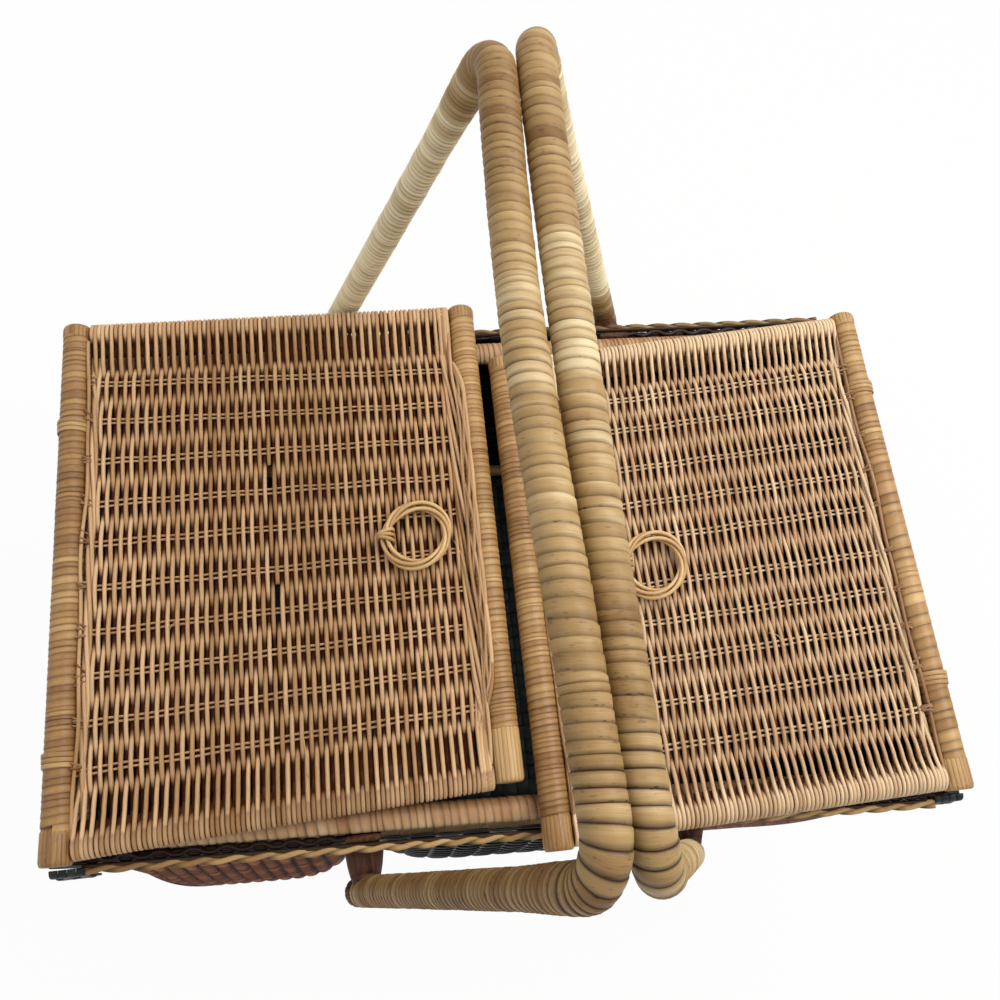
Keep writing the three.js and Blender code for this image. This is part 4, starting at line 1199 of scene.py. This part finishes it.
    rods = Bundle()
    rod_end = half_web - zone[1 if word == "left" else 0] + 0.0045
    x = outer_way * np.linspace(half_web + 0.001, -rod_end, 60)
    for k in range(ROD_ROWS):
        for apart in (-0.5, 0.5):
            y = rows[k] + fan[k] * x + apart * ROD_APART + 0.0003 * np.sin(x * 130 + k + apart)
            z = 0.0002 * np.sin(x * 210 + 2 * k)
            rods.lay(in_lid(x, y, z), (0, 1, 0), ROD_THICK, ROD_THICK, dice.uniform(0.05, 0.45))
        for _ in range(KNOT_FIBRES):
            t = np.linspace(0, 1, 7)
            start_y = rows[k] + fan[k] * outer_way * half_web + dice.normal(0, 0.0016)
            knot_x = outer_way * (half_web - 0.0035 + 0.0050 * t)
            knot_y = start_y + dice.normal(0, 0.0020) * t
            knot_z = 0.0012 + 0.0048 * np.sin(math.pi * 0.5 * t) + dice.normal(0, 0.0004)
            size = KNOT_THICK * (1 - 0.5 * t)
            rods.lay(in_lid(knot_x, knot_y, knot_z), (0, 1, 0), size, size, dice.uniform(0.2, 0.9), 0.55)
    for pole_way in (-1, 1):
        y = np.linspace(-end_row - 0.010, end_row + 0.010, 120)
        phase = 1.7 * pole_way + BESIDE_PHASE[word]
        sway = np.sin(y * 46 + phase) + 0.6 * np.sin(y * 97 + 2 * phase)
        strand_x = pole_way * (half_web - 0.0002 - 0.0008 * sway)
        strand_z = BESIDE_HEIGHT + 0.0006 * np.cos(y * 61 + phase)
        tone = np.clip(BESIDE_TONE[word] + 0.2 * np.sin(y * 33 + phase), 0, 1)
        rods.lay(in_lid(strand_x, y, strand_z), (1, 0, 0), *BESIDE_POLE, tone, BESIDE_SHADE[word])
    for fibre_x, fibre_y, run_x, run_y in STRAYS[word]:
        t = np.linspace(0, 1, 9)
        arch = np.sin(math.pi * t)
        y = fibre_y + run_y * t + STRAY_BEND * arch
        points = np.column_stack([fibre_x + run_x * t, y, middle.z + STRAY_HEIGHT * (1 + arch)])
        rods.lay(points, (0, 0, 1), *STRAY_THICK, 0.0)
    rods = rods.build(f"{word}_lid_rods", web_finish)
    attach(rods, f"{word}_lid")
    for end, way in OUTWARD.items():
        rail = Bundle()
        x = np.linspace(-half_web, half_web, 60)
        points = in_lid(x, way * rail_line(way, x) + 0 * x, 0 * x)
        rail.lay(points, (0, 1, 0), 2 * RAIL_CORE, 2 * RAIL_CORE, 0.8, 0.6, corners=16)
        rail = rail.build(f"{word}_{end}_rail_core", web_finish)
        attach(rail, f"{word}_lid")
        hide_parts(f"{word}_lid_{end}_rail")


# A ring pull lies on each lid: one long cane wound four times round and through itself.
# A short cane tie over its left side goes down through the web, so that the ring tips up on it.
RING_CANE = 0.0023
RING_PASSES = 4
RING_TWISTS = 5
RING_SWING = 0.0021
RING_INSET = 0.0032        # middle of the coil inside the outside of the ring
RING_FLAT = 0.85           # height of the coil to its width
RING_WOBBLES = ((0.0008, 2.0), (0.0005, 0.7))     # how far out of round, and how often to a pass
TIE_CANE = 0.0022
TIE_SLANT = 0.0013
TIE_FOOT = 0.005           # how far its ends go down below the part that shows
TIE_LOOPS = 3
RING_PALE = (0.60, 0.40, 0.185, 1)
RING_DEEP = (0.29, 0.145, 0.046, 1)

ring_finish = cane_finish("ring_cane", RING_PALE, RING_DEEP, HONEY_STAIN, 0.42, gloss=0.1)
for word in ("left", "right"):
    low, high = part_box(f"{word}_ring")
    tie_low, tie_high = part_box(f"{word}_ring_tie")
    tie_middle = (tie_low + tie_high) / 2
    ring_radius = (high.y - low.y) / 2 - RING_INSET
    centre = np.array([tie_middle.x + ring_radius, (low.y + high.y) / 2, (low.z + high.z) / 2])
    turn = np.linspace(0, 2 * math.pi * RING_PASSES, 320)
    swing = turn * RING_TWISTS / RING_PASSES
    reach = ring_radius + RING_SWING * np.cos(swing)
    for size, often in RING_WOBBLES:
        reach = reach + size * np.sin(often * turn)
    points = centre + np.column_stack([
        -reach * np.cos(turn), -reach * np.sin(turn), RING_SWING * RING_FLAT * np.sin(swing),
    ])
    ring = Bundle()
    tone = np.clip(0.35 + 0.25 * np.sin(turn * 1.7), 0, 1)
    ring.lay(points, (0, 0, 1), RING_CANE, RING_CANE, tone, 0.0, corners=10)
    ring = ring.build(f"{word}_ring_coil", ring_finish)
    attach(ring, f"{word}_ring")
    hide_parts(f"{word}_ring")

    tie = Bundle()
    foot = tie_low.z - TIE_FOOT
    arch = (tie_high.x - tie_low.x) / 2 - TIE_CANE / 2
    for loop in range(TIE_LOOPS):
        turn = np.linspace(math.pi, 0, 15)
        slant = TIE_SLANT * (loop - 1)
        offset = (loop - (TIE_LOOPS - 1) / 2) * TIE_CANE
        x = np.concatenate([[-arch], arch * np.cos(turn), [arch]])
        z = np.concatenate([[foot], centre[2] + arch * np.sin(turn), [foot]])
        y = offset + slant * x / arch
        points = np.column_stack([tie_middle.x + x, tie_middle.y + y, z])
        tie.lay(points, (0, 1, 0), TIE_CANE, TIE_CANE * 0.8, dice.uniform(0.2, 0.7), 0.0, corners=8)
    tie = tie.build(f"{word}_ring_tie_cane", ring_finish)
    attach(tie, f"{word}_lid")
    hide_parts(f"{word}_ring_tie")


# The two swing handles are stout bent poles, bound from foot to foot with one glossy strip of split cane.
# The binding is broad on the grips and fine on the legs, and browner at the corners, where hands wear it,
# with painted shade on the left front leg and painted light on the left back leg.
GRIP_WRAP = {"left": (0.0055, 0.0042), "right": (0.0056, 0.0044)}
LEG_WRAP = {"front": 0.0042, "back": 0.0028}
HANDLE_DOME = 0.0007
HANDLE_RADIUS = 0.009
HANDLE_PROUD = 0.0005      # how far the binding stands out past the plain pole
LEG_THIN = 0.0010          # how much thinner the bound legs are than the grip
FRONT_REACH = {"left": -0.0022, "right": 0.0}
BACK_REACH = {"left": 0.0, "right": 0.004}
BOW_SKEW = 1.2             # puts the most of the bow behind the middle of the grip
BOW_OVER = 0.06            # height below the grip over which the bow begins
LEAN_FROM = 0.06           # the lean begins this far behind the middle of the basket
LEAN_OVER = 0.16
LEAN_RISE = 1.5
SPLAY_OVER = 0.02
THIN_OVER = 0.05
GRIP_BEFORE = 0.03         # the binding begins to broaden this far below the bend
GRIP_OVER = 0.07
HANDLE_SPREAD = 0.24
HANDLE_MOTTLE = 0.07
HANDLE_TAIL = 0.0165
HANDLE_FOOT = 0.015
HANDLE_BEND = 0.020
PEG_BITE = 0.002
SADDLE_CLEAR = 0.00005     # between the fixed spacer and the saddle that turns with the handle
SADDLE_DEPTH = 0.0050
SADDLE_WIDE = 0.0087
SADDLE_NARROW = 0.0072
SADDLE_BORE = 0.0057
GRIP_GAP = 0.0006
GRIP_BOW = {"left": -0.0045, "right": -0.0022}
FRONT_LEAN = {"left": (0.0016, 0.0045), "right": (0.0, -0.0040)}
BACK_LEAN = {"left": (0.0, 0.0), "right": (-0.0003, 0.0)}
FOOT_CAP = 0.0105
FOOT_STRIPS = 12
HANDLE_PALE = (0.81, 0.70, 0.45, 1)
HANDLE_DEEP = (0.165, 0.080, 0.021, 1)
# Dark colour of the binding's dirty joints and of the painted shade in its grooves
HANDLE_DIRT_AND_SHADE = (0.024, 0.008, 0.0015, 1)
# These tones hold wear and painted light together: painted shade on the left front leg, painted light on
# the left back leg, and a painted highlight on each front bend
TONE_PLACES = {            # share of the way from the front foot to the back one, and the tone there
    "left": [
        (0.0, 0.80), (0.12, 0.92), (0.22, 1.0), (0.275, 0.86), (0.31, 0.70), (0.35, 0.76), (0.41, 0.66),
        (0.50, 0.50), (0.58, 0.60), (0.64, 0.88), (0.70, 0.88), (0.725, 0.55), (0.75, 0.28), (0.82, 0.05),
        (1.0, 0.0),
    ],
    "right": [
        (0.0, 0.40), (0.18, 0.50), (0.27, 0.58), (0.31, 0.62), (0.35, 0.78), (0.41, 0.68), (0.50, 0.42),
        (0.58, 0.56), (0.64, 0.76), (0.70, 0.78), (0.725, 0.50), (0.75, 0.28), (0.82, 0.10), (0.93, 0.10),
        (0.96, 0.85), (1.0, 0.95),
    ],
}
SHADED_GROOVES = {"left": (0.27, 0.342), "right": (0.285, 0.338)}     # where the grooves between the turns carry painted shade

handle_finish = cane_finish("handle_cane", HANDLE_PALE, HANDLE_DEEP, HANDLE_DIRT_AND_SHADE, 0.5,
                            gloss=0.05, streaks=0.3, shine=0.22, specks=0.45)
for word, sign in (("left", -1), ("right", 1)):
    low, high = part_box(f"{word}_handle")
    peg_low, peg_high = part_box(f"front_{word}_peg")
    peg = np.array(middle_of(f"front_{word}_peg"))[[0, 2]]
    leg_y = max(abs(peg_low.y), abs(peg_high.y)) - PEG_BITE
    front_y = -low.y - HANDLE_RADIUS + FRONT_REACH[word]
    back_y = high.y - HANDLE_RADIUS + BACK_REACH[word]
    grip_z = high.z - HANDLE_RADIUS
    grip_x = sign * (GRIP_GAP / 2 + HANDLE_RADIUS)
    reach = math.hypot(grip_x - peg[0], grip_z - peg[1])
    rise = np.array([(grip_x - peg[0]) / reach, (grip_z - peg[1]) / reach])
    bend = np.linspace(0, math.pi / 2, 30)
    leg = np.linspace(-HANDLE_TAIL, reach - HANDLE_BEND, 130)
    splay = (leg - HANDLE_FOOT) / (reach - HANDLE_BEND - HANDLE_FOOT)
    splay = splay * smooth((leg - HANDLE_FOOT + SPLAY_OVER / 2) / SPLAY_OVER)
    corner_up = reach - HANDLE_BEND + HANDLE_BEND * np.sin(bend)
    front_leg = -leg_y - (front_y - leg_y) * splay
    back_leg = leg_y + (back_y - leg_y) * splay
    front_bend = -(front_y - HANDLE_BEND + HANDLE_BEND * np.cos(bend))
    back_bend = back_y - HANDLE_BEND + HANDLE_BEND * np.cos(bend)
    grip_y = np.linspace(-(front_y - HANDLE_BEND), back_y - HANDLE_BEND, 160)
    y = np.concatenate([front_leg, front_bend[1:-1], grip_y, back_bend[::-1][1:-1], back_leg[::-1]])
    up = np.concatenate([leg, corner_up[1:-1], np.full(160, reach), corner_up[::-1][1:-1], leg[::-1]])
    bow = GRIP_BOW[word] * np.sin(math.pi * np.clip((y + front_y) / (front_y + back_y), 0, 1) ** BOW_SKEW)
    bow = bow * smooth((up - reach + BOW_OVER) / BOW_OVER)
    ahead = smooth((LEAN_FROM - y) / LEAN_OVER)
    aloft = np.clip(up / reach, 0, 1) ** LEAN_RISE
    lean_x = aloft * (FRONT_LEAN[word][0] * ahead + BACK_LEAN[word][0])
    lean_z = aloft * (FRONT_LEAN[word][1] * ahead + BACK_LEAN[word][1])
    points = np.column_stack([peg[0] + rise[0] * up + bow + lean_x, y, peg[1] + rise[1] * up + lean_z])
    points = soften(points, 3)
    line = Line(points, (rise[1], 0, -rise[0]))
    leg_length = reach - HANDLE_BEND + HANDLE_TAIL

    def band_width(s):
        # Fine on the legs and broad on the grip, broadest in front
        from_end = min(s, line.length - s)
        on_grip = float(smooth((from_end - leg_length + GRIP_BEFORE) / GRIP_OVER))
        back_share = float(smooth((s - leg_length) / (line.length - 2 * leg_length)))
        grip = GRIP_WRAP[word][0] + (GRIP_WRAP[word][1] - GRIP_WRAP[word][0]) * back_share
        leg_wrap = LEG_WRAP["front" if s < line.length / 2 else "back"]
        return leg_wrap + (grip - leg_wrap) * on_grip

    def band_tone(s):
        # From the front foot to the back one: browner where hands and dirt have darkened it, with painted
        # shade and painted light along the legs and bends
        places, tones = zip(*TONE_PLACES[word])
        tone = float(np.interp(s / line.length, places, tones)) + 0.05 * math.sin(s * 61)
        return tone + (dice.normal(0, 0.10) if min(s, line.length - s) < leg_length else 0.0)

    def band_radius(s):
        # A little thinner on the legs than on the grip
        from_end = np.minimum(s, line.length - s)
        thin = LEG_THIN * (1 - smooth((from_end - leg_length + THIN_OVER) / THIN_OVER))
        return HANDLE_RADIUS + HANDLE_PROUD - thin

    handle = Bundle()
    wrapped(handle, line, FOOT_CAP - 0.002, line.length - FOOT_CAP + 0.002, band_radius, band_width,
            HANDLE_SPREAD, HANDLE_DOME, band_tone, -1, HANDLE_MOTTLE, -1,
            groove_shade_at=np.array(SHADED_GROOVES[word]) * line.length)
    handle = handle.build(f"{word}_handle_bound", handle_finish)
    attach(handle, f"{word}_handle")
    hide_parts(f"{word}_handle")

    ends = Bundle()
    for at, way in ((0.0, -1), (line.length, 1)):
        capped_end(ends, line, at, way, FOOT_CAP, HANDLE_RADIUS - LEG_THIN, FOOT_STRIPS)
    ends = ends.build(f"{word}_handle_ends", spacer_finish)
    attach(ends, f"{word}_handle")
    for side, way in OUTWARD.items():
        low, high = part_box(f"{side}_{word}_spacer")
        face = max(abs(low.y), abs(high.y)) + SADDLE_CLEAR
        saddle_ends = [(peg[0], way * depth, peg[1]) for depth in (face, face + SADDLE_DEPTH)]
        saddle_line = straight(*saddle_ends, (1, 0, 0), 0.0005)
        saddle = Bundle()
        turned(saddle, saddle_line, [
            (0.0, SADDLE_BORE), (0.0, SADDLE_WIDE - 0.0001), (0.0001, SADDLE_WIDE),
            (SADDLE_DEPTH, SADDLE_NARROW), (SADDLE_DEPTH, SADDLE_BORE),
        ], SPACER_COLUMNS)
        saddle = saddle.build(f"{side}_{word}_handle_saddle", spacer_finish)
        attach(saddle, f"{word}_handle")


# The stage: a plain white floor that the basket stands on, lit by a broad soft lamp above on the right
# and weaker ones on the left and behind, inside a pale even surround.
FLOOR_SIZE = 8
FLOOR_WHITE = (0.60, 0.58, 0.55, 1)
FLOOR_GLOW = 0.96          # how much of the floor is plain white to the eye, the rest keeping the shadow
SURROUND = 0.50


def background_rays(nodes, links):
    # 1 for rays that see the background, straight or in a shiny surface, and 0 for the light it gives
    ray = nodes.new("ShaderNodeLightPath")
    seen = ray.outputs["Is Camera Ray"]
    for word in ("Is Glossy Ray", "Is Transmission Ray"):
        either = nodes.new("ShaderNodeMath")
        either.operation = "MAXIMUM"
        links.new(seen, either.inputs[0])
        links.new(ray.outputs[word], either.inputs[1])
        seen = either.outputs[0]
    return seen


floor_mesh = bpy.data.meshes.new("floor")
half_floor = FLOOR_SIZE / 2
floor_mesh.from_pydata(
    [(-half_floor, -half_floor, 0), (half_floor, -half_floor, 0), (half_floor, half_floor, 0),
     (-half_floor, half_floor, 0)], [], [(0, 1, 2, 3)])
floor = bpy.data.objects.new("floor", floor_mesh)
bpy.context.scene.collection.objects.link(floor)
floor_finish = bpy.data.materials.new("floor_white")
floor_finish.use_nodes = True
floor_nodes = floor_finish.node_tree.nodes
floor_links = floor_finish.node_tree.links
floor_shader = floor_nodes["Principled BSDF"]
floor_shader.inputs["Base Color"].default_value = FLOOR_WHITE
floor_shader.inputs["Roughness"].default_value = 0.9
floor_glow = floor_nodes.new("ShaderNodeEmission")
floor_glow.inputs["Strength"].default_value = 1
part_glow = floor_nodes.new("ShaderNodeMath")
part_glow.operation = "MULTIPLY"
part_glow.inputs[1].default_value = FLOOR_GLOW
floor_links.new(background_rays(floor_nodes, floor_links), part_glow.inputs[0])
floor_mix = floor_nodes.new("ShaderNodeMixShader")
floor_links.new(part_glow.outputs[0], floor_mix.inputs["Fac"])
floor_links.new(floor_shader.outputs["BSDF"], floor_mix.inputs[1])
floor_links.new(floor_glow.outputs["Emission"], floor_mix.inputs[2])
floor_links.new(floor_mix.outputs["Shader"], floor_nodes["Material Output"].inputs["Surface"])
floor_mesh.materials.append(floor_finish)

for name, place, aim, size, power in (
    ("key_lamp", (0.75, 0.15, 1.30), (0.05, 0.0, 0.3), 0.9, 17),
    ("fill_lamp", (-1.1, -0.1, 1.4), (-0.1, 0.0, 0.25), 1.3, 7),
    ("back_lamp", (0.3, 1.4, 1.5), (0.0, 0.0, 0.3), 1.2, 11),
):
    lamp = bpy.data.lights.new(name, "AREA")
    lamp.size = size
    lamp.energy = power
    holder = bpy.data.objects.new(name, lamp)
    holder.location = place
    holder.rotation_euler = (Vector(aim) - Vector(place)).to_track_quat("-Z", "Y").to_euler()
    bpy.context.scene.collection.objects.link(holder)

world = bpy.data.worlds.new("pale_surround")
world.use_nodes = True
world_nodes = world.node_tree.nodes
world_links = world.node_tree.links
surround = world_nodes["Background"]
surround.inputs["Color"].default_value = (1, 1, 1, 1)
surround.inputs["Strength"].default_value = SURROUND
backdrop = world_nodes.new("ShaderNodeBackground")
backdrop.inputs["Color"].default_value = (1, 1, 1, 1)
backdrop.inputs["Strength"].default_value = 1
world_mix = world_nodes.new("ShaderNodeMixShader")
world_links.new(background_rays(world_nodes, world_links), world_mix.inputs["Fac"])
world_links.new(surround.outputs["Background"], world_mix.inputs[1])
world_links.new(backdrop.outputs["Background"], world_mix.inputs[2])
world_links.new(world_mix.outputs["Shader"], world_nodes["World Output"].inputs["Surface"])
bpy.context.scene.world = world
bpy.context.scene.view_settings.view_transform = "Standard"


# The camera looks down on the basket from its front left, as the photograph does.
CAMERA_PLACE = Vector((-0.08246, -0.16280, 0.80218))
CAMERA_RIGHT = Vector((0.98811, -0.10590, 0.11148))
CAMERA_UP = Vector((0.06146, 0.93661, 0.34495))
CAMERA_LENS = 35.36

camera = bpy.data.cameras.new("camera")
camera.lens = CAMERA_LENS
camera.sensor_width = 36
camera.clip_start = 0.01
camera_holder = bpy.data.objects.new("camera", camera)
backward = CAMERA_RIGHT.cross(CAMERA_UP).normalized()
turning = Matrix((CAMERA_RIGHT.normalized(), CAMERA_UP.normalized(), backward)).transposed()
camera_holder.matrix_world = Matrix.Translation(CAMERA_PLACE) @ turning.to_4x4()
bpy.context.scene.collection.objects.link(camera_holder)
bpy.context.scene.camera = camera_holder
